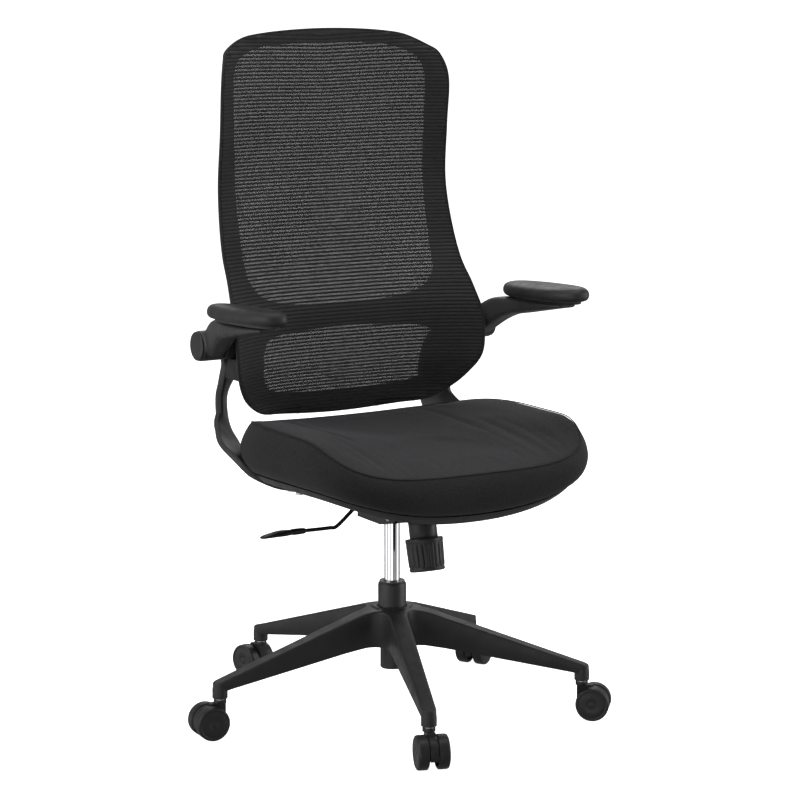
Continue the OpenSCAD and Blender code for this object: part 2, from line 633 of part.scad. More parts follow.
module hub_cap(side) x_cylinder(arm_hub_d / 2 - 2, side > 0 ? cap_x : -arm_hub_x,
    side > 0 ? arm_hub_x : -cap_x, pivot_y, pivot_z);
module hub_cap_left() color([0.08, 0.08, 0.08]) hub_cap(1);
module hub_cap_right() color([0.08, 0.08, 0.08]) hub_cap(-1);

// Outline of the pad about its centre: narrower at its rear end and rounded off at its inner
// front corner
function pad_ring(grow, z) = [for (k = [0:31]) let (t = 360 * k / 32,
        y = (pad_l / 2 + grow) * spow(sin(t), 2 / 2.6),
        w = (pad_w / 2 + grow) * (1 - 0.12 * ease(y / pad_l + 0.1)),
        inner = cos(t) < 0 ? 1 - 0.1 * ease(-(y + 30) / 90) : 1)
    [w * inner * spow(cos(t), 2 / 2.6), y, z]];

// Rings of the pad: growth of the outline and height above the pad's middle
pad_rings = [[-12, -pad_t / 2 + 0.3], [-5, -pad_t / 2 + 2], [-1, -6.5], [0, -1], [-2, 5.5],
    [-8, pad_t / 2 - 2.3], [-17, pad_t / 2 - 0.4], [-28, pad_t / 2]];
plate_t = 4.3;                     // thickness of the plate under the pad

module at_pad() translate(pad_centre) rotate([-pad_tilt, 0, 0]) children();
module pad() at_pad() skin([for (r = pad_rings) pad_ring(r[0], r[1])]);
module pad_plate() at_pad() skin([pad_ring(-17, -pad_t / 2 - plate_t), pad_ring(-14, -pad_t / 2)]);

module arm_pad_left() color([0.1, 0.1, 0.1]) pad();
module arm_pad_right() color([0.1, 0.1, 0.1]) mirror([1, 0, 0]) pad();
module pad_plate_left() color([0.08, 0.08, 0.08]) pad_plate();
module pad_plate_right() color([0.08, 0.08, 0.08]) mirror([1, 0, 0]) pad_plate();

// ---------------------------------------------------------------- casters

// Places children at caster i, with +X along its trail and Z up from the floor
module at_caster(i) rotate([0, 0, base_turn + 72 * i]) translate([base_reach, 0, 0])
    rotate([0, 0, caster_headings[i] - base_turn - 72 * i]) children();

module caster_pins(i) color([0.7, 0.7, 0.72]) at_caster(i) {
    translate([0, 0, 46]) cylinder(r = stem_r, h = 44);
    translate([0, 0, socket_z - 2.2]) cylinder(r = 8.5, h = 2);
    translate([caster_trail, axle_hl, wheel_z]) rotate([90, 0, 0]) cylinder(r = axle_r, h = 2 * axle_hl);
}

module caster_hood(i) color([0.1, 0.1, 0.1]) at_caster(i) difference() {
    union() {
        intersection() {
            translate([caster_trail, hood_hw, wheel_z]) rotate([90, 0, 0])
                cylinder(r = wheel_d / 2 - 2, h = 2 * hood_hw);
            translate([-50, -20, 19]) cube([100, 40, 60]);
        }
        translate([0, 0, 60]) cylinder(r = 11, h = socket_z - 2.2 - 60);
        translate([-8, -hood_hw, 36]) cube([caster_trail + 8, 2 * hood_hw, 25]);
    }
    translate([0, 0, 46]) cylinder(r = stem_r, h = 40);
    translate([caster_trail, 30, wheel_z]) rotate([90, 0, 0]) cylinder(r = axle_r, h = 60);
}

module caster_wheel(i, side) color([0.1, 0.1, 0.1]) at_caster(i)
    translate([caster_trail, side * (wheel_gap + wheel_w) / 2, wheel_z]) rotate([90, 0, 0])
        difference() {
            rotate_extrude() polygon([[0, -wheel_w / 2], [wheel_d / 2 - 2.5, -wheel_w / 2],
                [wheel_d / 2 - 0.7, -wheel_w / 2 + 1.2], [wheel_d / 2, -wheel_w / 2 + 3.5],
                [wheel_d / 2, wheel_w / 2 - 3.5], [wheel_d / 2 - 0.7, wheel_w / 2 - 1.2],
                [wheel_d / 2 - 2.5, wheel_w / 2], [0, wheel_w / 2]]);
            translate([0, 0, side > 0 ? -wheel_w / 2 + 1 : -wheel_w])
                cylinder(r = axle_r + running, h = 1.5 * wheel_w - 1);
        }

star_base();
gas_column();
guide_bushing();
thrust_bearing();
caster_sleeves();
piston_rod();
rod_clip();
gas_cylinder();
valve_button();
mechanism_housing();
tilt_pin();
spring_cup();
tension_spring();
tension_screw();
tension_knob();
lock_slider();
lever_rod();
lever_paddle();
seat_plate();
seat_bolts();
seat_shell();
seat_pan();
seat_cushion();
bracket_left();
bracket_right();
bracket_bolts();
arm_pivots();
back_frame();
back_mesh_upper();
back_mesh_lower();
back_links();
back_screws();
arm_left();
pad_plate_left();
arm_pad_left();
hub_cap_left();
arm_right();
pad_plate_right();
arm_pad_right();
hub_cap_right();
caster_pins(0);  // caster_1_pins
caster_hood(0);  // caster_1_hood
caster_wheel(0, 1);  // caster_1_wheel_1
caster_wheel(0, -1);  // caster_1_wheel_2
caster_pins(1);  // caster_2_pins
caster_hood(1);  // caster_2_hood
caster_wheel(1, 1);  // caster_2_wheel_1
caster_wheel(1, -1);  // caster_2_wheel_2
caster_pins(2);  // caster_3_pins
caster_hood(2);  // caster_3_hood
caster_wheel(2, 1);  // caster_3_wheel_1
caster_wheel(2, -1);  // caster_3_wheel_2
caster_pins(3);  // caster_4_pins
caster_hood(3);  // caster_4_hood
caster_wheel(3, 1);  // caster_4_wheel_1
caster_wheel(3, -1);  // caster_4_wheel_2
caster_pins(4);  // caster_5_pins
caster_hood(4);  // caster_5_hood
caster_wheel(4, 1);  // caster_5_wheel_1
caster_wheel(4, -1);  // caster_5_wheel_2
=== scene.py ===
"""Looks of the swivel office chair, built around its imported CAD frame. Shapes are worked out in
millimetres and become metres when a mesh is made."""
import json
import math

import bmesh
import bpy
import numpy as np
from mathutils import Matrix, Vector


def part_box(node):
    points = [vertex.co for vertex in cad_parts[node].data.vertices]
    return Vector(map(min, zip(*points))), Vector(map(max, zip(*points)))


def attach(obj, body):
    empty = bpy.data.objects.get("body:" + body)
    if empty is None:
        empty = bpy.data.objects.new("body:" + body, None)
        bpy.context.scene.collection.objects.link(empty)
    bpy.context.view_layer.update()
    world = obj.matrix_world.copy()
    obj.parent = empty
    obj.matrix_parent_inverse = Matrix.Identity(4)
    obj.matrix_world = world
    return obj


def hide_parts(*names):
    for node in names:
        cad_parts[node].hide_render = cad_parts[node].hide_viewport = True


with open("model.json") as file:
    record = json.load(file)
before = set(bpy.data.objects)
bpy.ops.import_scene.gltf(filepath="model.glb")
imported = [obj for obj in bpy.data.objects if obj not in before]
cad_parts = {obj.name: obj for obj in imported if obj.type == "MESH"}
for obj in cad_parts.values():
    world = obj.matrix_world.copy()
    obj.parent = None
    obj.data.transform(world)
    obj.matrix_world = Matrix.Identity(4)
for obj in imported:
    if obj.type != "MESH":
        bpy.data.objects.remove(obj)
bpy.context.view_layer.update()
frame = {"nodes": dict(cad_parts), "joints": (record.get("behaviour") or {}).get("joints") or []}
MM = 0.001
JOINTS = {j["name"]: j for j in frame["joints"]}


def joint_point(name):
    return Vector(JOINTS[name]["pos_m"]) / MM


def joint_axis(name):
    return Vector(JOINTS[name]["axis"]).normalized()


def box_mm(node):
    lo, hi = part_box(node)
    return lo / MM, hi / MM


# ---------------------------------------------------------------- camera, light and floor

def make_camera():
    target = Vector((0.01205, -0.00696, 0.55991))
    turn, tilt, distance = math.radians(-30), math.radians(9.851), 4.97035
    back = Vector((math.sin(turn) * math.cos(tilt), -math.cos(turn) * math.cos(tilt), math.sin(tilt)))
    data = bpy.data.cameras.new("camera")
    data.sensor_width = 36
    data.lens = 128.16
    data.clip_start, data.clip_end = 0.1, 200
    camera = bpy.data.objects.new("camera", data)
    camera.location = target + back * distance
    camera.rotation_mode = "QUATERNION"
    camera.rotation_quaternion = (-back).to_track_quat("-Z", "Y")
    bpy.context.scene.collection.objects.link(camera)
    bpy.context.scene.camera = camera


def area_light(name, place, aim, size, power):
    data = bpy.data.lights.new(name, "AREA")
    data.shape, data.size, data.size_y, data.energy = "RECTANGLE", size[0], size[1], power
    light = bpy.data.objects.new(name, data)
    light.location = place
    light.rotation_mode = "QUATERNION"
    light.rotation_quaternion = (Vector(aim) - Vector(place)).to_track_quat("-Z", "Y")
    bpy.context.scene.collection.objects.link(light)
    return light


def around(turn, height, distance):
    """A place at an angle from the camera's side of the chair, positive to the camera's right."""
    a = math.radians(-30 + turn)
    return math.sin(a) * distance, -math.cos(a) * distance, height


def make_studio():
    world = bpy.data.worlds.new("studio")
    world.use_nodes = True
    world.node_tree.nodes["Background"].inputs["Color"].default_value = (1, 1, 1, 1)
    world.node_tree.nodes["Background"].inputs["Strength"].default_value = 0.32
    bpy.context.scene.world = world
    bpy.context.scene.view_settings.view_transform = "Standard"
    area_light("key", around(-62, 1.7, 3.4), (0, 0, 0.5), (3.6, 2.8), 77)
    area_light("side", around(92, 1.2, 3.2), (0, 0, 0.5), (1.8, 2.4), 51)
    area_light("rear", around(176, 2.4, 3.2), (0, 0, 0.7), (2.6, 1.2), 26)
    area_light("top", (0, 0, 3.4), (0, 0, 0), (2.6, 2.6), 46)
    # Low panels that only mirrors see: an upright chrome tube reflects what lies below the floor's edge.
    for turn, width, power in ((-95, 1.9, 8), (-48, 2.1, 11), (-6, 1.7, 10), (88, 1.9, 9)):
        mirrored = area_light("mirrored", around(turn, -0.25, 3.4), (0, 0, 0.3), (width, 1.2), power)
        mirrored.visible_diffuse = mirrored.visible_camera = False


def make_surroundings():
    """Pale floor and the wall behind it in one sweep. It shines evenly and throws no light on the chair."""
    rings = [[(r * math.cos(a), r * math.sin(a), z) for a in [2 * math.pi * k / 48 for k in range(48)]]
             for r, z in ((2000, 0), (30000, 0), (33000, 1500), (34000, 6000), (30000, 18000), (16000, 26000))]
    verts, faces = flow(rings)
    mesh = bpy.data.meshes.new("floor")
    mesh.from_pydata([tuple(c * MM for c in v) for v in verts], [], faces)
    floor = bpy.data.objects.new("floor", mesh)
    bpy.context.scene.collection.objects.link(floor)
    material, _, bsdf = shader("floor_paint", (0.9, 0.9, 0.9), 0.9)
    bsdf.inputs["Emission Color"].default_value = (1, 1, 1, 1)
    bsdf.inputs["Emission Strength"].default_value = 1.0
    mesh.materials.append(material)
    floor.visible_diffuse = floor.visible_glossy = floor.visible_shadow = False


# ---------------------------------------------------------------- numbers and curves

def mix(a, b, t):
    return a + (b - a) * t


def ease(t):
    t = min(1.0, max(0.0, t))
    return t * t * (3 - 2 * t)


def spow(v, p):
    return math.copysign(abs(v) ** p, v)


def spline(a, b, c, d, t):
    """Catmull-Rom value between b and c."""
    return 0.5 * (2 * b + (c - a) * t + (2 * a - 5 * b + 4 * c - d) * t * t + (3 * b - a - 3 * c + d) * t ** 3)


def smooth(rows, steps, closed=False):
    """Points along a smooth curve through the rows, steps to each stretch."""
    rows = [np.array(r, float) for r in rows]
    n = len(rows)

    def at(i):
        return rows[i % n] if closed else rows[min(max(i, 0), n - 1)]

    spans = n if closed else n - 1
    out = [spline(at(i - 1), at(i), at(i + 1), at(i + 2), k / steps) for i in range(spans) for k in range(steps)]
    return out if closed else out + [rows[-1]]


def row_at(table, key):
    """Value of a table of rows [key, a, b, ...] at a key between its rows."""
    i = max(0, min(len(table) - 2, sum(r[0] <= key for r in table) - 1))
    t = (key - table[i][0]) / (table[i + 1][0] - table[i][0])
    rows = [np.array(table[min(max(k, 0), len(table) - 1)], float) for k in (i - 1, i, i + 1, i + 2)]
    return spline(*rows, t)


# ---------------------------------------------------------------- meshes

def flow(rings, close_start=True, close_end=True, wrap=True):
    """Vertices and faces through rings of equally many points."""
    n = len(rings[0])
    verts = [tuple(p) for r in rings for p in r]
    faces = []
    for i in range(len(rings) - 1):
        for k in range(n if wrap else n - 1):
            a, b = i * n + k, i * n + (k + 1) % n
            faces.append((a, b, b + n, a + n))
    for wanted, start in ((close_start, 0), (close_end, (len(rings) - 1) * n)):
        if wanted:
            verts.append(tuple(np.mean(rings[start // n], axis=0)))
            hub = len(verts) - 1
            faces += [(start + k, start + (k + 1) % n, hub) for k in range(n)]
    return verts, faces


def joined(*parts):
    verts, faces = [], []
    for v, f in parts:
        base = len(verts)
        verts += v
        faces += [tuple(i + base for i in face) for face in f]
    return verts, faces


def lathe(profile, sides=64, twist=0.0):
    """Closed solid of (radius, height) points round +Z. A radius of 0 closes an end."""
    angles = [2 * math.pi * k / sides + twist for k in range(sides)]
    rings = [[(r * math.cos(a), r * math.sin(a), z) for a in angles] for r, z in profile if r > 1e-6]
    return flow(rings, profile[0][0] <= 1e-6, profile[-1][0] <= 1e-6)


def moved(part, matrix):
    verts, faces = part
    return [tuple(matrix @ Vector(v)) for v in verts], faces


def along(axis, origin=(0, 0, 0)):
    """Matrix that turns +Z onto axis and puts 0 at origin."""
    return Matrix.Translation(origin) @ Vector(axis).to_track_quat("Z", "Y").to_matrix().to_4x4()


def make(name, part, material, body, replaces=(), bevel=0.0, levels=0, angle=40):
    """Object of a part in millimetres, riding on a body."""
    verts, faces = part
    mesh = bpy.data.meshes.new(name)
    mesh.from_pydata([tuple(c * MM for c in v) for v in verts], [], faces)
    bm = bmesh.new()
    bm.from_mesh(mesh)
    bmesh.ops.remove_doubles(bm, verts=bm.verts, dist=1e-6)
    bmesh.ops.dissolve_degenerate(bm, edges=bm.edges, dist=1e-7)
    bmesh.ops.recalc_face_normals(bm, faces=bm.faces)
    bm.to_mesh(mesh)
    bm.free()
    piece = bpy.data.objects.new(name, mesh)
    bpy.context.scene.collection.objects.link(piece)
    finish_piece(piece, bevel, levels, angle)
    mesh.materials.append(material)
    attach(piece, body)
    if replaces:
        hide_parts(*replaces)
    return piece


def finish_piece(piece, bevel=0.0, levels=0, angle=40):
    piece.data.polygons.foreach_set("use_smooth", [True] * len(piece.data.polygons))
    if bevel:
        m = piece.modifiers.new("edges", "BEVEL")
        m.width, m.segments, m.limit_method = bevel * MM, 2, "ANGLE"
        m.angle_limit = math.radians(angle)
        m.harden_normals = True
    if levels:
        m = piece.modifiers.new("surface", "SUBSURF")
        m.levels = m.render_levels = levels
    if not bevel and not levels:
        sharpen(piece.data, angle)


def sharpen(mesh, angle):
    """Marks the edges that turn by more than the angle as sharp."""
    bm = bmesh.new()
    bm.from_mesh(mesh)
    for edge in bm.edges:
        edge.smooth = not (edge.is_manifold and edge.calc_face_angle(0) > math.radians(angle))
    bm.to_mesh(mesh)
    bm.free()


def refine(node, material, bevel=0.8):
    """Gives a CAD node softened edges and a material."""
    piece = frame["nodes"][node]
    weld = piece.modifiers.new("weld", "WELD")
    weld.merge_threshold = 1e-6
    flat = piece.modifiers.new("flat", "DECIMATE")
    flat.decimate_type, flat.angle_limit = "DISSOLVE", math.radians(1)
    edges = piece.modifiers.new("edges", "BEVEL")
    edges.width, edges.segments, edges.limit_method = bevel * MM, 2, "ANGLE"
    edges.angle_limit = math.radians(30)
    edges.harden_normals = True
    piece.data.polygons.foreach_set("use_smooth", [True] * len(piece.data.polygons))
    paint(node, material)


def paint(node, material):
    piece = frame["nodes"][node]
    piece.data.materials.clear()
    piece.data.materials.append(material)


# ---------------------------------------------------------------- materials

def shader(name, colour, rough, metallic=0.0, **sockets):
    material = bpy.data.materials.new(name)
    material.use_nodes = True
    bsdf = material.node_tree.nodes["Principled BSDF"]
    bsdf.inputs["Base Color"].default_value = (*colour, 1)
    bsdf.inputs["Roughness"].default_value = rough
    bsdf.inputs["Metallic"].default_value = metallic
    for key, value in sockets.items():
        bsdf.inputs[key.replace("_", " ")].default_value = value
    return material, material.node_tree, bsdf


def node(tree, kind, **settings):
    made = tree.nodes.new(kind)
    for key, value in settings.items():
        if key in made.inputs:
            made.inputs[key].default_value = value
        else:
            setattr(made, key.lower(), value)
    return made


def textured(tree, kind, scale, **settings):
    """A texture in the object's own coordinates, in metres."""
    place = tree.nodes.get("place") or tree.nodes.new("ShaderNodeTexCoord")
    place.name = "place"
    made = node(tree, kind, Scale=scale, **settings)
    tree.links.new(place.outputs["Object"], made.inputs["Vector"])
    return made


def ramp(tree, source, low, high, start=0.35, end=0.65):
    """Maps a value onto a stretch between two values or colours."""
    made = tree.nodes.new("ShaderNodeMapRange") if not hasattr(low, "__len__") else None
    if made:
        made.inputs["From Min"].default_value, made.inputs["From Max"].default_value = start, end
        made.inputs["To Min"].default_value, made.inputs["To Max"].default_value = low, high
        tree.links.new(source, made.inputs["Value"])
        return made.outputs["Result"]
    made = tree.nodes.new("ShaderNodeValToRGB")
    made.color_ramp.elements[0].position, made.color_ramp.elements[1].position = start, end
    made.color_ramp.elements[0].color, made.color_ramp.elements[1].color = (*low, 1), (*high, 1)
    tree.links.new(source, made.inputs["Fac"])
    return made.outputs["Color"]


def bump(tree, bsdf, height, strength, distance, under=None):
    made = tree.nodes.new("ShaderNodeBump")
    made.inputs["Strength"].default_value = strength
    made.inputs["Distance"].default_value = distance
    tree.links.new(height, made.inputs["Height"])
    if under:
        tree.links.new(under.outputs["Normal"], made.inputs["Normal"])
    tree.links.new(made.outputs["Normal"], bsdf.inputs["Normal"])
    return made


def tint(colour, k):
    return tuple(min(1.0, c * k) for c in colour)


def plastic(name, colour, rough=0.45, grain=900, depth=0.25, specular=0.5):
    """Moulded plastic: fine spark-eroded grain, faint flow shading and uneven gloss."""
    material, tree, bsdf = shader(name, colour, rough, Specular_IOR_Level=specular)
    cloud = textured(tree, "ShaderNodeTexNoise", 14, Detail=3.0)
    tree.links.new(ramp(tree, cloud.outputs["Fac"], tint(colour, 0.86), tint(colour, 1.16)),
                   bsdf.inputs["Base Color"])
    gloss = textured(tree, "ShaderNodeTexNoise", 45, Detail=4.0)
    tree.links.new(ramp(tree, gloss.outputs["Fac"], rough - 0.06, rough + 0.08), bsdf.inputs["Roughness"])
    cells = textured(tree, "ShaderNodeTexVoronoi", grain)
    waves = textured(tree, "ShaderNodeTexNoise", 30, Detail=2.0)
    soft = bump(tree, bsdf, waves.outputs["Fac"], 0.08, 0.0012)
    bump(tree, bsdf, cells.outputs["Distance"], depth, 0.00012, soft)
    return material


def metal(name, colour, rough=0.3, streak=0.06, metallic=1.0, scratch=600):
    """Turned or drawn metal with fine marks round it."""
    material, tree, bsdf = shader(name, colour, rough, metallic)
    marks = textured(tree, "ShaderNodeTexNoise", scratch, Detail=2.0)
    cloud = textured(tree, "ShaderNodeTexNoise", 25, Detail=3.0)
    tree.links.new(ramp(tree, cloud.outputs["Fac"], tint(colour, 0.93), tint(colour, 1.05)),
                   bsdf.inputs["Base Color"])
    tree.links.new(ramp(tree, marks.outputs["Fac"], max(0.03, rough - streak), rough + streak),
                   bsdf.inputs["Roughness"])
    bump(tree, bsdf, marks.outputs["Fac"], 0.05, 0.0001)
    return material


def powder(name, colour, rough=0.5):
    """Powder coat over steel: orange peel and a dry sheen."""
    material, tree, bsdf = shader(name, colour, rough)
    peel = textured(tree, "ShaderNodeTexNoise", 420, Detail=2.0)
    cloud = textured(tree, "ShaderNodeTexNoise", 18, Detail=3.0)
    tree.links.new(ramp(tree, cloud.outputs["Fac"], tint(colour, 0.88), tint(colour, 1.12)),
                   bsdf.inputs["Base Color"])
    tree.links.new(ramp(tree, peel.outputs["Fac"], rough - 0.05, rough + 0.07), bsdf.inputs["Roughness"])
    bump(tree, bsdf, peel.outputs["Fac"], 0.22, 0.0003)
    return material


def strands(tree, across, along_run, axis):
    """Long irregular threads that run along an axis, in cells per metre."""
    place = tree.nodes.get("place") or tree.nodes.new("ShaderNodeTexCoord")
    place.name = "place"
    stretch = tree.nodes.new("ShaderNodeMapping")
    scale = [across] * 3
    scale[axis] = along_run
    stretch.inputs["Scale"].default_value = scale
    made = node(tree, "ShaderNodeTexNoise", Scale=1.0, Detail=1.0)
    tree.links.new(place.outputs["Object"], stretch.inputs["Vector"])
    tree.links.new(stretch.outputs["Vector"], made.inputs["Vector"])
    return made.outputs["Fac"]


def cloth(name, colour, pitch=1.3, sheen=0.12, rough=0.92):
    """Close weave: warp and weft threads, slubs and a soft nap."""
    material, tree, bsdf = shader(name, colour, rough, Sheen_Weight=sheen, Sheen_Roughness=0.5,
                                  Specular_IOR_Level=0.2)
    bsdf.inputs["Sheen Tint"].default_value = (0.5, 0.5, 0.53, 1)
    across = 1.0 / (pitch * MM)
    weave = tree.nodes.new("ShaderNodeMath")
    weave.operation = "MAXIMUM"
    tree.links.new(strands(tree, across, across / 9, 0), weave.inputs[0])
    tree.links.new(strands(tree, across, across / 9, 1), weave.inputs[1])
    slub = textured(tree, "ShaderNodeTexNoise", 260, Detail=4.0)
    cloud = textured(tree, "ShaderNodeTexNoise", 9, Detail=4.0)
    shade = tree.nodes.new("ShaderNodeMix")
    shade.data_type = "RGBA"
    shade.blend_type = "MULTIPLY"
    shade.inputs["Factor"].default_value = 1.0
    tree.links.new(ramp(tree, cloud.outputs["Fac"], tint(colour, 0.9), tint(colour, 1.12)), shade.inputs[6])
    tree.links.new(ramp(tree, weave.outputs["Value"], (0.6, 0.6, 0.6), (1, 1, 1), 0.4, 0.72), shade.inputs[7])
    tree.links.new(shade.outputs[2], bsdf.inputs["Base Color"])
    tree.links.new(ramp(tree, slub.outputs["Fac"], rough - 0.08, rough + 0.06), bsdf.inputs["Roughness"])
    fuzz = bump(tree, bsdf, slub.outputs["Fac"], 0.2, 0.0004)
    bump(tree, bsdf, weave.outputs["Value"], 0.45, 0.0004, fuzz)
    return material


MATERIALS = {}


def make_materials():
    MATERIALS.update(
        base=plastic("base_nylon", (0.021, 0.021, 0.022), 0.46, 800, 0.3, 0.3),
        arm=plastic("arm_nylon", (0.034, 0.034, 0.036), 0.46, 900, 0.3, 0.3),
        frame=plastic("frame_nylon", (0.019, 0.019, 0.020), 0.5, 900, 0.3, 0.25),
        shell=plastic("shell_plastic", (0.030, 0.030, 0.032), 0.45, 700, 0.35, 0.3),
        wheel=plastic("wheel_nylon", (0.016, 0.016, 0.017), 0.42, 1100, 0.15, 0.3),
        knob=plastic("knob_plastic", (0.022, 0.022, 0.023), 0.45, 900, 0.25, 0.3),
        lever=plastic("lever_plastic", (0.008, 0.008, 0.009), 0.4, 1100, 0.15, 0.3),
        bushing=plastic("bushing_plastic", (0.02, 0.02, 0.02), 0.4, 1200, 0.1),
        pad=plastic("pad_foam", (0.020, 0.020, 0.021), 0.48, 500, 0.4, 0.28),
        housing=powder("housing_coat", (0.014, 0.014, 0.015)),
        column=powder("column_coat", (0.008, 0.008, 0.009), 0.5),
        steel=metal("zinc_steel", (0.5, 0.5, 0.52), 0.32),
        chrome=metal("chrome", (0.80, 0.80, 0.82), 0.07, 0.03, scratch=900),
        plywood=cloth("plywood", (0.3, 0.2, 0.12)),
        seat=cloth("seat_cloth", (0.0195, 0.0195, 0.0205)),
        piping=cloth("seat_piping", (0.014, 0.014, 0.015), 0.9),
        ribs=cloth("mesh_rib", (0.029, 0.029, 0.030), 0.8, 0.05),
        threads=cloth("mesh_thread", (0.055, 0.055, 0.057), 0.6, 0.05),
    )


# ---------------------------------------------------------------- base

HUB_TOP = box_mm("star_base")[1].z
REACH = math.hypot(*joint_point("caster_1_swivel").xy)
BASE_TURN = math.atan2(*reversed(joint_point("caster_1_swivel").xy))
SOCKET_Z = box_mm("star_base")[0].z
COLUMN_R = 25
HUB_R = 34
HUB_BOTTOM = 123
TIP_R = 12.5


def arm_top(x):
    return float(np.interp(x, [0, 44, 66, REACH, REACH + 14], [HUB_TOP - 1, HUB_TOP - 3, HUB_TOP - 8, 99, 96]))


def arm_bottom(x):
    return float(np.interp(x, [0, 60, 100, REACH - 17, REACH], [HUB_BOTTOM + 3, HUB_BOTTOM + 2, 120, 84, 80.5]))


def arm_outline():
    """One side of an arm from the valley between two arms out to the middle of its tip, as (x, y)."""
    x0, run = 38.0, 44.0
    wall = [(x, mix(16.8, TIP_R, (x - 60) / (REACH - 60))) for x in
            [x0, 39, 41, 44, 48, 53, 60, 70, 82, 100, 130, 170, 210, 250, 290, REACH - 18, REACH]]
    valley = x0 * math.tan(math.radians(36)) - wall[0][1]
    wall = [(x, y + valley * max(0.0, 1 - (x - x0) / run) ** 5.2) for x, y in wall]
    tip = [(REACH + TIP_R * math.sin(math.radians(a)), TIP_R * math.cos(math.radians(a)))
           for a in (15, 30, 45, 60, 75, 90)]
    return wall + tip


def star_rings():
    """The base's outline as points with an outward direction, arm by arm."""
    side = arm_outline()
    half = [(x, -y) for x, y in side] + [(x, y) for x, y in reversed(side[:-1])]
    loop = []
    for k in range(5):
        turn = Matrix.Rotation(BASE_TURN + k * math.radians(72), 2)
        loop += [(turn @ Vector(p), p) for p in half[:-1]]
    return loop, len(half) - 1


def base_part():
    loop, per_arm = star_rings()
    points = [p for p, _ in loop]
    n = len(points)
    normals = []
    for i in range(n):
        run = (points[(i + 1) % n] - points[i - 1]).normalized()
        normals.append(Vector((run.y, -run.x)))

    def ring(inset, height):
        out = []
        for i, (p, local) in enumerate(loop):
            q = p - normals[i] * inset
            x = min(max(q.length if abs(local[1]) < 1 else local[0], 0), REACH + TIP_R)
            out.append((q.x, q.y, height(x)))
        return out

    round_off = [(3.4 * (1 - math.cos(math.radians(a))), 3.4 * (1 - math.sin(math.radians(a))))
                 for a in (0, 22, 45, 67, 90)]
    outside = [ring(3.6, lambda x: arm_bottom(x)), ring(0.8, lambda x: arm_bottom(x)),
               ring(0, lambda x: arm_bottom(x) + 1)]
    outside += [ring(i, lambda x, d=d: arm_top(x) - d) for i, d in round_off]
    ceiling = [ring(3.6, lambda x: arm_bottom(x)), ring(4.4, lambda x: mix(arm_bottom(x), arm_top(x) - 5,
               ease((REACH - 8 - x) / 20)))]
    parts = [flow(outside, False, False), flow(ceiling, False, False)]
    top, under = outside[-1], ceiling[-1]
    m = per_arm
    for loop_points, hub_z in ((top, HUB_TOP), (under, HUB_TOP - 6)):
        strips = []
        for k in range(5):
            arm = [loop_points[(k * m + j) % n] for j in range(m + 1)]
            rows = []
            for j in range(m // 2):
                left, right = Vector(arm[j]), Vector(arm[m - j])
                rows.append([tuple(left.lerp(right, t / 6)) for t in range(7)])
            tip = [tuple(arm[m // 2])] * 7
            parts.append(flow(rows + [tip], False, False, wrap=False))
            strips += rows[0][:-1]
        hub = []
        for p in strips:
            d = Vector((p[0], p[1], 0)).normalized() * HUB_R
            hub.append((d.x, d.y, hub_z))
        parts.append(flow([strips, hub], False, False))
    collar = [(HUB_R, HUB_TOP), (HUB_R - 1, HUB_TOP + 0.2), (COLUMN_R + 2, HUB_TOP + 0.2),
              (COLUMN_R + 0.8, HUB_TOP - 0.6), (COLUMN_R + 0.3, HUB_TOP - 4), (COLUMN_R + 0.3, HUB_BOTTOM + 1),
              (COLUMN_R + 1.2, HUB_BOTTOM),
              (HUB_R - 1.2, HUB_BOTTOM), (HUB_R, HUB_BOTTOM + 1.2), (HUB_R, HUB_TOP - 6)]
    parts.append(lathe(collar, 90))
    for k in range(5):
        turn = Matrix.Rotation(BASE_TURN + k * math.radians(72), 4, "Z")
        boss = [(8.2, SOCKET_Z + 0.2), (12.3, SOCKET_Z + 0.2), (13.3, SOCKET_Z + 1.2), (13.3, 84), (12.4, 90),
                (0, 90)]
        parts.append(moved(lathe([(8.2, 88)] + boss, 40), turn @ Matrix.Translation((REACH, 0, 0))))
        parts += [moved(rib, turn) for rib in arm_ribs()]
    return joined(*parts)


def slab(corners_low, corners_high):
    return flow([corners_low, corners_high])


def arm_ribs():
    """Webs that stiffen the hollow underside of an arm."""
    ribs = []
    for x in (90, 135, 180, 225, 270):
        half = mix(16.8, TIP_R, (x - 60) / (REACH - 60)) - 3.8
        lo, hi = arm_bottom(x) + 3, arm_top(x) - 4
        ribs.append(slab([(x - 1, -half, lo), (x + 1, -half, lo), (x + 1, half, lo), (x - 1, half, lo)],
                         [(x - 1, -half, hi), (x + 1, -half, hi), (x + 1, half, hi), (x - 1, half, hi)]))
    ends = [(x, arm_bottom(x) + lift, arm_top(x) - 4) for x, lift in ((HUB_R - 1, 4), (REACH - 26, 3))]
    ribs.append(flow([[(x, -1, lo), (x, 1, lo), (x, 1, hi), (x, -1, hi)] for x, lo, hi in ends]))
    return ribs


def make_base():
    make("base_star", base_part(), MATERIALS["base"], "base", ["star_base"])
    top = box_mm("gas_column")[1].z
    foot = box_mm("gas_column")[0].z
    column = [(6.5, foot + 0.3), (19.5, foot), (21, foot + 1.5), (21, HUB_BOTTOM), (25, HUB_BOTTOM + 1),
              (25, top - 5), (24.6, top - 3.6), (22.6, top - 0.6), (21.8, top), (20.2, top)]
    make("column_tube", lathe(column + [(20.2, top - 6), (6.5, top - 6)], 96), MATERIALS["column"], "base",
         ["gas_column"])
    paint("guide_bushing", MATERIALS["bushing"])
    for name in ("thrust_bearing", "caster_sleeves"):
        paint(name, MATERIALS["steel"])
    for name in ("piston_rod", "rod_clip", "valve_button"):
        paint(name, MATERIALS["steel"])
    paint("gas_cylinder", MATERIALS["chrome"])


# ---------------------------------------------------------------- casters

WHEEL_R = 29.5
WHEEL_W = 19


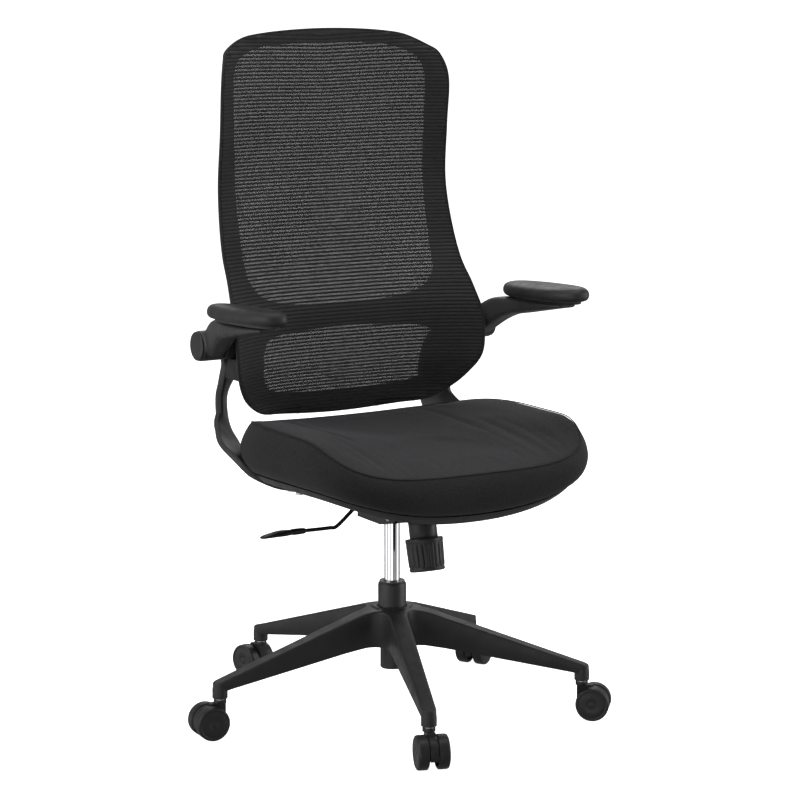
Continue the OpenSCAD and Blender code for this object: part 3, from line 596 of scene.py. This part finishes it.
def wheel_part():
    """Wheel round +Z with its outer face up: dished disc, raised rim and rounded tread."""
    half = WHEEL_W / 2
    return lathe([(0, half - 0.5), (6, half - 0.5), (6.5, half - 0.8), (7.0, half - 0.5), (22.5, half - 0.5),
                  (23.3, half - 1.0), (24.1, half - 0.9), (25.0, half - 0.1), (26.4, half), (28.2, half - 0.8),
                  (29.2, half - 2.2), (WHEEL_R, half - 4.2), (WHEEL_R, -half + 3.4), (29.1, -half + 1.4),
                  (27.4, -half + 0.2), (26, -half), (24.8, -half + 0.6), (24, -half + 5), (9, -half + 6),
                  (8, -half + 0.4), (4.2, -half + 0.4), (4.2, -half + 4), (0, -half + 4)], 80)


def make_casters():
    for n in range(1, 6):
        for w in (1, 2):
            name = f"wheel_{n}_{w}_spin"
            lo, hi = box_mm(f"caster_{n}_wheel_{w}")
            centre = (lo + hi) / 2
            axle = joint_axis(name)
            outward = axle if (centre - joint_point(name)).dot(axle) > 0 else -axle
            make(f"caster_{n}_tyre_{w}", moved(wheel_part(), along(outward, centre)), MATERIALS["wheel"],
                 f"wheel_{n}_{w}", [f"caster_{n}_wheel_{w}"])
        refine(f"caster_{n}_hood", MATERIALS["wheel"], 1.2)
        paint(f"caster_{n}_pins", MATERIALS["steel"])


# ---------------------------------------------------------------- back

# Height at the edge, half width, y at the edge, height at the centre, y at the centre
BACK_ROWS = [
    (524, 168, 166, 511, 200), (546, 205, 145, 538, 190), (574, 230, 121, 570, 176),
    (612, 245.5, 101, 612, 162), (683, 250, 102, 683, 162), (734, 246.5, 129, 734, 178),
    (810, 235, 177, 810, 204), (915, 229.7, 202, 915, 227), (1018, 228, 194.5, 1018, 236),
    (1102, 228, 187.5, 1106, 241), (1145, 218, 200, 1152, 242), (1163, 206, 220, 1178, 243),
    (1184, 168, 241, 1196, 243)]
BACK_POWER = 3.5
BACK_LEAN = 3
BACK_FOOT = 511
BACK_HEIGHT = 685
FRAME_T = 10
MESH_DEPTH = -1.2
# Right halves of the outlines, from the bottom of the middle up to its top, as (x, z)
BACK_EDGE = [(0, 511), (60, 512.6), (120, 517.6), (168, 524.5), (205, 546), (230, 575), (247, 610), (250.5, 650),
             (250, 683), (244.5, 734), (238.5, 770), (236, 810), (229.7, 915), (228, 1018), (228, 1102), (218, 1145),
             (204.5, 1160.5), (165, 1180.5), (120, 1188.3), (60, 1192.8), (0, 1194.3)]
UPPER_WINDOW = [(0, 711), (80, 713), (125, 718), (160, 729), (180, 747), (190, 770), (192, 830), (192, 900),
                (193, 1000), (195, 1090), (193, 1117), (184, 1139), (166, 1152), (141, 1161), (100, 1167), (0, 1171)]
LOWER_WINDOW = [(0, 552), (80, 554), (130, 559), (157, 569), (170, 585), (175, 605), (175, 630), (170, 650),
                (152, 661), (120, 665), (60, 669), (0, 671)]


def back_edge_row(x, z):
    """The back's row and share of the width that pass through a point of the front view."""
    edge = z
    for _ in range(6):
        row = row_at(BACK_ROWS, min(max(edge, 524), 1184))
        share = x / row[1]
        edge += z - mix(row[3], row[0], share * share)
    return row_at(BACK_ROWS, min(max(edge, 524), 1184)), share


def back_y(x, z):
    row, share = back_edge_row(x, z)
    return mix(row[4], row[2], min(1.2, abs(share)) ** BACK_POWER) + BACK_LEAN * (z - BACK_FOOT) / BACK_HEIGHT


def on_back(x, z, depth=0.0):
    return x, back_y(x, z) + depth, z


def closed_outline(half, spacing):
    """Closed outline through a right half and its mirror, with even spacing."""
    loop = [(x, z) for x, z in half] + [(-x, z) for x, z in reversed(half[1:-1])]
    dense = smooth(loop, 12, closed=True)
    return evenly(dense, spacing)


def evenly(points, spacing):
    points = np.array(points)
    closed = np.vstack([points, points[:1]])
    length = np.concatenate([[0], np.cumsum(np.linalg.norm(np.diff(closed, axis=0), axis=1))])
    count = max(8, int(length[-1] / spacing))
    at = np.arange(count) * length[-1] / count
    return np.stack([np.interp(at, length, closed[:, k]) for k in range(points.shape[1])], axis=1)


def offset_loop(loop, distance):
    """Loop moved sideways: positive is towards its inside, for an anticlockwise loop."""
    run = np.roll(loop, -1, axis=0) - np.roll(loop, 1, axis=0)
    run /= np.linalg.norm(run, axis=1)[:, None]
    return loop + np.stack([-run[:, 1], run[:, 0]], axis=1) * distance


def inside(loop, points):
    """Whether each point lies in the loop, by counting crossings."""
    out = np.zeros(len(points), bool)
    for a, b in zip(loop, np.roll(loop, -1, axis=0)):
        crosses = (a[1] > points[:, 1]) != (b[1] > points[:, 1])
        x = a[0] + (points[:, 1] - a[1]) * (b[0] - a[0]) / (b[1] - a[1] + 1e-12)
        out ^= crosses & (points[:, 0] < x)
    return out


def fill(outer, holes, grid):
    """Even triangles between an outline and its holes, in the plane."""
    from mathutils.geometry import delaunay_2d_cdt
    loops = [outer] + holes
    points, edges = [], []
    for loop in loops:
        base = len(points)
        points += [tuple(p) for p in loop]
        edges += [(base + i, base + (i + 1) % len(loop)) for i in range(len(loop))]
    lo, hi = outer.min(axis=0), outer.max(axis=0)
    xs, zs = np.meshgrid(np.arange(lo[0] + grid / 2, hi[0], grid), np.arange(lo[1] + grid / 2, hi[1], grid))
    spare = np.stack([xs.ravel(), zs.ravel()], axis=1)
    keep = inside(offset_loop(outer, grid * 0.4), spare)
    for hole in holes:
        keep &= ~inside(offset_loop(hole, -grid * 0.4), spare)
    points += [tuple(p) for p in spare[keep]]
    out = delaunay_2d_cdt([Vector(p) for p in points], edges, [], 0, 1e-5)
    verts, faces = np.array([tuple(v) for v in out[0]]), out[2]
    centres = np.array([verts[list(f)].mean(axis=0) for f in faces])
    good = inside(outer, centres)
    for hole in holes:
        good &= ~inside(hole, centres)
    return verts, [tuple(f) for f, g in zip(faces, good) if g]


def rounded_plate(outer, holes, thickness, radius, grid, place):
    """Plate with rounded rims; place(x, z, depth) puts its points in space."""
    steps = [(radius * (1 - math.sin(a)), radius * (1 - math.cos(a))) for a in
             (0, math.pi / 8, math.pi / 4, 3 * math.pi / 8, math.pi / 2)]
    rim = steps + [(i, thickness - d) for i, d in reversed(steps)]
    parts = []
    inner = [offset_loop(outer, radius)] + [offset_loop(h, -radius) for h in holes]
    verts, faces = fill(inner[0], inner[1:], grid)
    for depth in (0, thickness):
        parts.append(([place(x, z, depth) for x, z in verts], list(faces)))
    for loop, sign in [(outer, 1)] + [(h, -1) for h in holes]:
        rings = [[place(x, z, depth) for x, z in offset_loop(loop, sign * inset)] for inset, depth in rim]
        parts.append(flow(rings, False, False))
    return joined(*parts)


def section(p, u, v, a, b, power=4.0, n=32):
    """Ring of an oblong section: half sizes a along u and b along v."""
    angles = [2 * math.pi * k / n for k in range(n)]
    return [p + u * a * spow(math.cos(t), 2 / power) + v * b * spow(math.sin(t), 2 / power) for t in angles]


def tube(points, radius, sides=10, closed=False):
    """Round tube along points."""
    points = [np.array(p, float) for p in points]
    n = len(points)
    rings, side = [], None
    for i, p in enumerate(points):
        if closed:
            run = points[(i + 1) % n] - points[i - 1]
        else:
            run = points[min(i + 1, n - 1)] - points[max(i - 1, 0)]
        run = run / np.linalg.norm(run)
        if side is None:
            side = np.cross(run, (0, 0, 1) if abs(run[2]) < 0.9 else (1, 0, 0))
        side = side - run * (side @ run)
        side = side / np.linalg.norm(side)
        up = np.cross(run, side)
        r = radius[i] if hasattr(radius, "__len__") else radius
        rings.append([p + side * r * math.cos(a) + up * r * math.sin(a)
                      for a in [2 * math.pi * k / sides for k in range(sides)]])
    if closed:
        return flow(rings + [rings[0]], False, False)
    return flow(rings)


RIB_PITCH = 6.35
RIB_HALF = 1.75
THREAD_PITCH = 1.4
THREAD_HALF = 0.655
THREAD_STEP = 12.0


def back_span(z):
    """Half width of the back at a height of the front view."""
    edge = EDGE_LOOP
    right = edge[edge[:, 0] >= 0]
    order = right[np.argsort(right[:, 1])]
    return float(np.interp(z, order[:, 1], order[:, 0]))


EDGE_LOOP = closed_outline(BACK_EDGE, 4)
HEIGHTS = (511.0, 1196.0)


def rib_sag(x, z):
    """The ribs hang a little towards the top of the back."""
    return -5.0 * ease((z - 900) / 260) * (1 - (x / 230) ** 2)


def mesh_ribs():
    ribs = []
    for z in np.arange(HEIGHTS[0] + 3.5, HEIGHTS[1] - 1, RIB_PITCH):
        half = back_span(z) - 3.2
        if half < 30:
            continue
        rings = []
        for x in np.linspace(-half, half, 61):
            h = min(max(z + rib_sag(x, z) * (1 - abs(x) / half), HEIGHTS[0] + 1), HEIGHTS[1] - 1)
            px, y, pz = on_back(x, h, MESH_DEPTH)
            rings.append([(px, y + d, pz + r) for d, r in
                          ((0.4, -RIB_HALF), (-0.2, -RIB_HALF), (-0.7, -RIB_HALF * 0.5), (-0.7, RIB_HALF * 0.5),
                           (-0.2, RIB_HALF), (0.4, RIB_HALF))])
        ribs.append(flow(rings))
    return joined(*ribs)


def mesh_threads():
    threads = []
    heights = np.arange(HEIGHTS[0] + 3, HEIGHTS[1] - 2, THREAD_STEP)
    spans = np.array([back_span(z) for z in heights])
    for x in np.arange(-245.7, 245.8, THREAD_PITCH):
        rings = []
        for z, span in zip(heights, spans):
            within = abs(x) < span - 3 - THREAD_HALF
            if within:
                rings.append([on_back(x + step, z, MESH_DEPTH + depth) for step, depth in
                              ((-THREAD_HALF, 0.47), (0, 0.44), (THREAD_HALF, 0.47))])
            if rings and (not within or z == heights[-1]):
                if len(rings) > 2:
                    threads.append(flow(rings))
                rings = []
    return joined(*threads)


def make_back():
    windows = [closed_outline(UPPER_WINDOW, 6), closed_outline(LOWER_WINDOW, 6)]
    frame_plate = rounded_plate(closed_outline(BACK_EDGE, 6), windows, FRAME_T, 3.0, 11, on_back)
    make("back_ring", frame_plate, MATERIALS["frame"], "seat", ["back_frame"], angle=60)
    ribs, threads = mesh_ribs(), mesh_threads()
    cloth_part = joined(ribs, threads)
    piece = make("back_net", cloth_part, MATERIALS["ribs"], "seat",
                 ["back_mesh_upper", "back_mesh_lower"], angle=80)
    piece.data.materials.append(MATERIALS["threads"])
    count = len(ribs[1])
    for i, face in enumerate(piece.data.polygons):
        if i >= count:
            face.material_index = 1
    rim = [on_back(x, z, 1.2) for x, z in offset_loop(closed_outline(BACK_EDGE, 6), 0.6)]
    make("back_welt", tube(rim, 2.0, 10, closed=True), MATERIALS["ribs"], "seat")


# ---------------------------------------------------------------- brackets, arms and pads

BRACKET_ROWS = [
    (150, 62, 408.3, 0, 1, 0, 30, 4.5), (198, 74, 417.5, -0.05, 1, 0, 31, 5), (232, 92, 438, -0.2, 1, 0, 31, 6),
    (240, 128, 461, -0.45, 0.9, 0.1, 32, 6.5), (229, 182, 483.5, -0.55, 0.85, 0.1, 32, 7.2),
    (221, 219, 511, -0.55, 0.83, 0.05, 31, 7.6), (219.5, 226, 551, -0.58, 0.81, 0, 31, 7.8),
    (214, 214.5, 585, -0.7, 0.7, 0, 29, 8), (210, 197, 620, -0.92, 0.38, 0, 25, 8.5),
    (222, 178, 648, -1, 0, 0, 24, 9)]
ARM_ROWS = [
    (272, 162, 655, 1, 0, 0, 20, 23), (273, 134, 669, 1, 0, 0, 20, 23.5), (280, 99, 688.5, 1, 0, 0, 21, 22),
    (287, 60, 699, 1, 0, 0, 22, 16.5), (293, 20, 703.4, 1, 0, 0, 24, 13), (295, -30, 708.7, 1, 0, 0, 26, 8.5),
    (295, -76, 714.3, 1, 0, 0, 24, 5.2), (295, -104, 717.5, 1, 0, 0, 17, 3.4)]
PIVOT = joint_point("arm_left_flip")
HUB = 26.75


def strap(rows, steps=8, power=4.0):
    """Rings along rows of [place, across, half width, half thickness]."""
    rows = smooth(rows, steps)
    at = [r[:3] for r in rows]
    rings = []
    for i, r in enumerate(rows):
        run = at[min(i + 1, len(at) - 1)] - at[max(i - 1, 0)]
        run = run / np.linalg.norm(run)
        across = r[3:6] / np.linalg.norm(r[3:6])
        across = across - run * (across @ run)
        across = across / np.linalg.norm(across)
        rings.append(section(at[i], across, np.cross(run, across), r[6], r[7], power))
    return flow(rings)


def flipped(part, side):
    verts, faces = part
    return ([(x * side, y, z) for x, y, z in verts], faces)


def x_lathe(profile, sides=64):
    """Lathe round the X axis through the arm pivots; profile is (radius, x)."""
    place = Matrix.Translation((0, PIVOT.y, PIVOT.z)) @ Matrix.Rotation(math.radians(90), 4, "Y")
    return moved(lathe(profile, sides), place)


def melt(piece, voxel=1.8, rounds=10):
    """Joins overlapping shapes into one skin with softened creases."""
    m = piece.modifiers.new("melt", "REMESH")
    m.mode, m.voxel_size, m.use_smooth_shade = "VOXEL", voxel * MM, True
    s = piece.modifiers.new("soften", "SMOOTH")
    s.factor, s.iterations = 0.5, rounds
    return piece


def make_bracket(side, word):
    hub = x_lathe([(0, 233), (HUB - 2, 233), (HUB - 0.5, 234), (HUB, 236), (HUB, 249.5), (HUB - 1.5, 251),
                   (0, 251)])
    link = flow([section(np.array(c), np.array((0, 0, 1.0)), np.array(v), a, b, 3.5) for c, v, a, b in (
        ((222, 206, 612), (1, 0, 0), 27, 8), ((220, 196, 610), (1, 0, 0), 23, 9),
        ((218, 182, 609), (1, 0, 0), 18, 10), ((217, 160, 609), (1, 0, 0), 17, 10),
        ((216, 145, 609), (1, 0, 0), 18, 11), ((215, 138, 609), (1, 0, 0), 21, 12))])
    body = joined(strap(BRACKET_ROWS, 8, 5.5), hub, link)
    piece = make(f"bracket_arm_{word}", flipped(body, side), MATERIALS["arm"], "seat",
                 [f"bracket_{word}"])
    melt(piece, 1.3, 4)


def make_arm(side, word):
    body_name = f"arm_{word}"
    hub = x_lathe([(0, 252), (HUB - 1.5, 252), (HUB, 253.5), (HUB, 294), (HUB - 1.2, 296), (0, 296)])
    piece = make(f"arm_body_{word}", flipped(joined(strap(ARM_ROWS), hub), side), MATERIALS["arm"], body_name,
                 [body_name])
    melt(piece, 1.5, 10)
    cap = x_lathe([(22.5, 294.5), (23.2, 296.6), (24.3, 296.0), (25.4, 297.2), (25.2, 298.4), (24.2, 299.2),
                   (14, 299.5), (0, 299.5)])
    make(f"hub_disc_{word}", flipped(cap, side), MATERIALS["knob"], body_name,
         [f"hub_cap_{word}"])
    paint("arm_pivots", MATERIALS["steel"])


PAD_PLACE = (Matrix.Translation((297, -29, 735)) @ Matrix.Rotation(math.radians(-3), 4, "Y")
             @ Matrix.Rotation(math.radians(-2.8), 4, "X"))


def pad_ring(grow, z, n=72):
    """The pad's outline grown by an amount: narrower at its rear end and along the inner side in front."""
    out = []
    for k in range(n):
        t = 2 * math.pi * k / n
        y = (120 + grow) * spow(math.sin(t), 2 / 2.6)
        w = (39 + grow) * (1 - 0.12 * ease(y / 240 + 0.1))
        if math.cos(t) < 0:
            w *= 1 - 0.1 * ease(-(y + 30) / 90)
        out.append((w * spow(math.cos(t), 2 / 2.6), y, z))
    return out


def make_pads(side, word):
    rows = smooth([(-12, -12.7), (-5, -11), (-1, -6.5), (0, -1), (-2, 5.5), (-8, 10.2), (-17, 12.2), (-28, 13)], 4)
    part = moved(flow([pad_ring(g, z) for g, z in rows] + [pad_ring(-36, 13.1)]), PAD_PLACE)
    piece = make(f"pad_{word}", flipped(part, side), MATERIALS["pad"], f"arm_{word}",
                 [f"arm_pad_{word}"], angle=60)
    plate = flow([pad_ring(g, z) for g, z in ((-19, -17.3), (-16.6, -17.1), (-15.6, -15.6), (-15.2, -13.2),
                                              (-18, -13))])
    make(f"pad_base_{word}", flipped(moved(plate, PAD_PLACE), side), MATERIALS["arm"], f"arm_{word}",
         [f"pad_plate_{word}"], angle=50)


# ---------------------------------------------------------------- seat

SEAT_HW = 265
SEAT_CY = -58.5
SEAT_HD = 248.5
SEAT_POWER = 4
SEAT_TAPER = 0.055
SHELL_FLOOR = 412
SHELL_K = 0.86
LIP_K = 0.925
SEAT_TURNS = 180
CORNER_ROLL = 0.032
FLOOR_STEPS = (0.3, 0.6, 0.7, 0.8, 0.88)


def seat_point(k, t):
    r = (abs(math.cos(t)) ** SEAT_POWER + abs(math.sin(t)) ** SEAT_POWER) ** (-1 / SEAT_POWER)
    u, v = r * math.cos(t), r * math.sin(t)
    return k * SEAT_HW * u * (1 - SEAT_TAPER * spow(v, SEAT_POWER / 2)), SEAT_CY + k * SEAT_HD * v


def rim_z(p):
    return (393.5 + 32 * (abs(p[0]) / 200) ** 2.2 - 8.5 * ease((p[1] + 260) / 350)
            + 40 * ease((p[1] + 20) / 170) * max(0.0, 1 - (p[0] / 200) ** 2))


def seam_z(p):
    return 480 + (25.5 + 4 * (p[0] / 240) ** 2) * ease((p[1] + 314) / 155) + 17.5 * (p[0] / 240) ** 4


def floor_z(s, t):
    return mix(SHELL_FLOOR, rim_z(seat_point(SHELL_K, t)), ease((s - 0.6) / 0.4))


def seat_ring(k, height, turns=SEAT_TURNS):
    out = []
    for i in range(turns):
        t = 2 * math.pi * i / turns
        x, y = seat_point(k, t)
        out.append((x, y, height(t)))
    return out


def floor_ring(s, up, k=SHELL_K):
    return seat_ring(k * s, lambda t: floor_z(s, t) + up)


def corner_roll(t):
    """How far the cushion's edge rolls inwards: most at its two rear corners."""
    x, y = seat_point(1, t)
    return ease((y + 60) / 210) * ease((abs(x) - 120) / 110)


def band_ring(k, f, up=0.0):
    out = []
    for i in range(SEAT_TURNS):
        t = 2 * math.pi * i / SEAT_TURNS
        roll = corner_roll(t)
        x, y = seat_point(k - CORNER_ROLL * roll * ease((f - 0.25) / 0.75) ** 1.5, t)
        out.append((x, y, mix(floor_z(1, t) + 16, seam_z(seat_point(1, t)) - 1.5 * roll, f) + up))
    return out


def top_ring(s, dish):
    out = []
    for i in range(SEAT_TURNS):
        t = 2 * math.pi * i / SEAT_TURNS
        x, y = seat_point(0.95 * s - CORNER_ROLL * corner_roll(t) * s ** 3, t)
        out.append((x, y, mix(497, seam_z(seat_point(1, t)) + dish, s ** 1.6)))
    return out


def smooth_rings(rings, steps):
    stack = np.array(rings, float)
    n = len(stack)
    out = []
    for i in range(n - 1):
        a, b, c, d = stack[max(i - 1, 0)], stack[i], stack[i + 1], stack[min(i + 2, n - 1)]
        out += [spline(a, b, c, d, k / steps) for k in range(steps)]
    out.append(stack[-1])
    return [[tuple(p) for p in r] for r in out]


def cushion_part():
    under = [floor_ring(s, 15.2) for s in FLOOR_STEPS]
    lower = smooth_rings([band_ring(0.92, 0), band_ring(0.965, 0.12), band_ring(0.992, 0.33), band_ring(1, 0.58),
                          band_ring(0.985, 0.83), band_ring(0.957, 1)], 4)
    upper = smooth_rings([band_ring(0.957, 1), top_ring(0.965, 1.7), top_ring(0.88, 2), top_ring(0.7, 1),
                          top_ring(0.45, 0.2), top_ring(0.15, 0)], 4)
    return flow(under + lower + upper[1:])


def seam_at(x, y):
    """How far a point of the plan lies from the sewn seam, as a share of the outline."""
    v = (y - SEAT_CY) / SEAT_HD
    u = x / (SEAT_HW * (1 - SEAT_TAPER * spow(min(1, max(-1, v)), SEAT_POWER / 2)))
    return (abs(u) ** SEAT_POWER + abs(v) ** SEAT_POWER) ** (1 / SEAT_POWER)


COVER_GRID = 5.0
COVER_MOST_SHIFT = 5.0
COVER_PRESSURE = 4
COVER_FRAMES = 20
HELD_HEIGHT = 470


def plump(piece):
    """Blows the cover up as cloth, held along its seam and where it is stapled under the foam."""
    remesh = piece.modifiers.new("grid", "REMESH")
    remesh.mode, remesh.voxel_size = "VOXEL", COVER_GRID * MM
    scene = bpy.context.scene
    depsgraph = bpy.context.evaluated_depsgraph_get()
    even = bpy.data.meshes.new_from_object(piece.evaluated_get(depsgraph))
    piece.modifiers.clear()
    piece.data = even
    rest = np.empty(len(even.vertices) * 3)
    even.vertices.foreach_get("co", rest)
    rest = rest.reshape(-1, 3)
    group = piece.vertex_groups.new(name="held")
    held = []
    for i, (x, y, z) in enumerate(rest / MM):
        share = seam_at(x, y)
        seam = abs(z - seam_z((x, y))) < 5 and 0.93 < share < 0.985
        below = z < mix(floor_z(1, math.atan2((y - SEAT_CY) / SEAT_HD, x / SEAT_HW)) + 16, seam_z((x, y)), 0.2)
        if seam or below or (share < 0.86 and z < HELD_HEIGHT):
            held.append(i)
    group.add(held, 1.0, "REPLACE")
    cloth_mod = piece.modifiers.new("cloth", "CLOTH")
    cloth_mod.settings.quality = 5
    cloth_mod.settings.use_pressure = True
    cloth_mod.settings.uniform_pressure_force = COVER_PRESSURE
    cloth_mod.settings.vertex_group_mass = "held"
    cloth_mod.settings.effector_weights.gravity = 0
    cloth_mod.point_cache.frame_start, cloth_mod.point_cache.frame_end = 1, COVER_FRAMES
    for step in range(1, COVER_FRAMES + 1):
        scene.frame_set(step)
    depsgraph = bpy.context.evaluated_depsgraph_get()
    blown = bpy.data.meshes.new_from_object(piece.evaluated_get(depsgraph))
    piece.modifiers.clear()
    scene.frame_set(1)
    at = np.empty(len(blown.vertices) * 3)
    blown.vertices.foreach_get("co", at)
    shift = at.reshape(-1, 3) - rest
    length = np.linalg.norm(shift, axis=1, keepdims=True)
    shift *= np.minimum(1, COVER_MOST_SHIFT * MM / np.maximum(length, 1e-9))
    even.vertices.foreach_set("co", (rest + shift).ravel())
    even.polygons.foreach_set("use_smooth", [True] * len(even.polygons))
    even.update()
    piece.vertex_groups.clear()
    soft = piece.modifiers.new("soften", "SMOOTH")
    soft.factor, soft.iterations = 0.5, 3
    rounded = piece.modifiers.new("surface", "SUBSURF")
    rounded.levels = rounded.render_levels = 1


def make_seat():
    piece = make("cushion", cushion_part(), MATERIALS["seat"], "seat", ["seat_cushion"], angle=70)
    plump(piece)
    seam = band_ring(0.957, 1, -0.2)
    make("seat_seam", tube(seam, 1.0, 8, closed=True), MATERIALS["piping"], "seat")
    shell = smooth_rings([floor_ring(s, 3) for s in FLOOR_STEPS] + [
        floor_ring(0.965, 3), seat_ring(LIP_K - 0.012, lambda t: floor_z(1, t) + 14.4),
        seat_ring(LIP_K - 0.004, lambda t: floor_z(1, t) + 15.2), seat_ring(LIP_K, lambda t: floor_z(1, t) + 14.2),
        seat_ring(mix(SHELL_K, LIP_K, 0.5), lambda t: floor_z(1, t) + 5), floor_ring(1, 0), floor_ring(0.94, 0)]
        + [floor_ring(s, 0) for s in reversed(FLOOR_STEPS)], 2)
    make("seat_underside", flow(shell), MATERIALS["shell"], "seat", ["seat_shell"], angle=50)
    paint("seat_pan", MATERIALS["plywood"])
    refine("seat_plate", MATERIALS["housing"], 0.6)
    for name in ("seat_bolts", "bracket_bolts", "back_screws"):
        paint(name, MATERIALS["steel"])
    paint("back_links", MATERIALS["frame"])


# ---------------------------------------------------------------- mechanism

KNOB_TOP = joint_point("tension_turn")
KNOB_AXIS = joint_axis("tension_turn")


def knob_part():
    """Ribbed knob, in a frame whose +Z runs up its axis."""
    sides, flutes = 180, 20
    rows = [(-87.5, 26.5, 0), (-87.1, 28.8, 0), (-86, 30.2, 0), (-84.2, 31.0, 0), (-82, 30.7, 0), (-80.5, 30.0, 0),
            (-79, 30.8, 1), (-76, 31.3, 1), (-58, 31.9, 1), (-44, 32.4, 1), (-40, 32.4, 0.6), (-38.5, 32.0, 0),
            (-37, 32.7, 0), (-34, 32.9, 0), (-31.5, 32.9, 0), (-30.2, 32.1, 0), (-30, 30.4, 0), (-30.4, 26.6, 0),
            (-72, 25.6, 0)]
    rings = []
    for z, r, deep in rows:
        ring = []
        for k in range(sides):
            a = 2 * math.pi * k / sides
            dip = max(0.0, math.cos(flutes * a)) ** 3 * 1.9 * deep
            ring.append(((r - dip) * math.cos(a), (r - dip) * math.sin(a), z))
        rings.append(ring)
    return flow(rings, True, True)


def make_mechanism():
    refine("mechanism_housing", MATERIALS["housing"], 1.0)
    for name in ("tilt_pin", "tension_spring", "tension_screw"):
        paint(name, MATERIALS["steel"])
    refine("spring_cup", MATERIALS["knob"], 0.6)
    paint("lock_slider", MATERIALS["bushing"])
    frame_of_knob = along(KNOB_AXIS, KNOB_TOP)
    make("knob_grip", moved(knob_part(), frame_of_knob), MATERIALS["knob"], "knob",
         ["tension_knob"], angle=50)
    lever_z = joint_point("lever_lift").z
    path = [(4, lever_z + 5), (-14, lever_z + 4), (-27, lever_z), (-50, lever_z), (-64, lever_z + 2),
            (-77, lever_z - 3), (-110, 347.5), (-127, 345.5), (-176, 346)]
    rod = [(x, 0, z) for x, z in smooth(path, 8)]
    make("lever_shaft", tube(rod, 3.4, 16), MATERIALS["lever"], "lever", ["lever_rod"], angle=50)
    rows = [(-174, 346, 4.4, 4.4), (-179, 346, 5.2, 5.4), (-196, 346, 5.4, 7.0), (-201, 346, 4.4, 7.2),
            (-205, 346, 4.4, 9.6), (-217, 346, 4.8, 12), (-229, 345.5, 4.2, 12.2), (-246, 343.9, 2.6, 11),
            (-255, 342.6, 1.8, 8.6), (-259, 342, 1, 5)]
    u, v = np.array((0, 0, 1.0)), np.array((0, 1.0, 0))
    blade = flow([section(np.array((r[0], 0, r[1])), u, v, r[2], r[3], 2.6) for r in smooth(rows, 3)])
    make("lever_grip", blade, MATERIALS["lever"], "lever", ["lever_paddle"], angle=60)


make_camera()
make_studio()
make_materials()
make_base()
make_casters()
make_mechanism()
make_seat()
make_back()
for turn_side, turn_word in ((1, "left"), (-1, "right")):
    make_bracket(turn_side, turn_word)
    make_arm(turn_side, turn_word)
    make_pads(turn_side, turn_word)

make_surroundings()
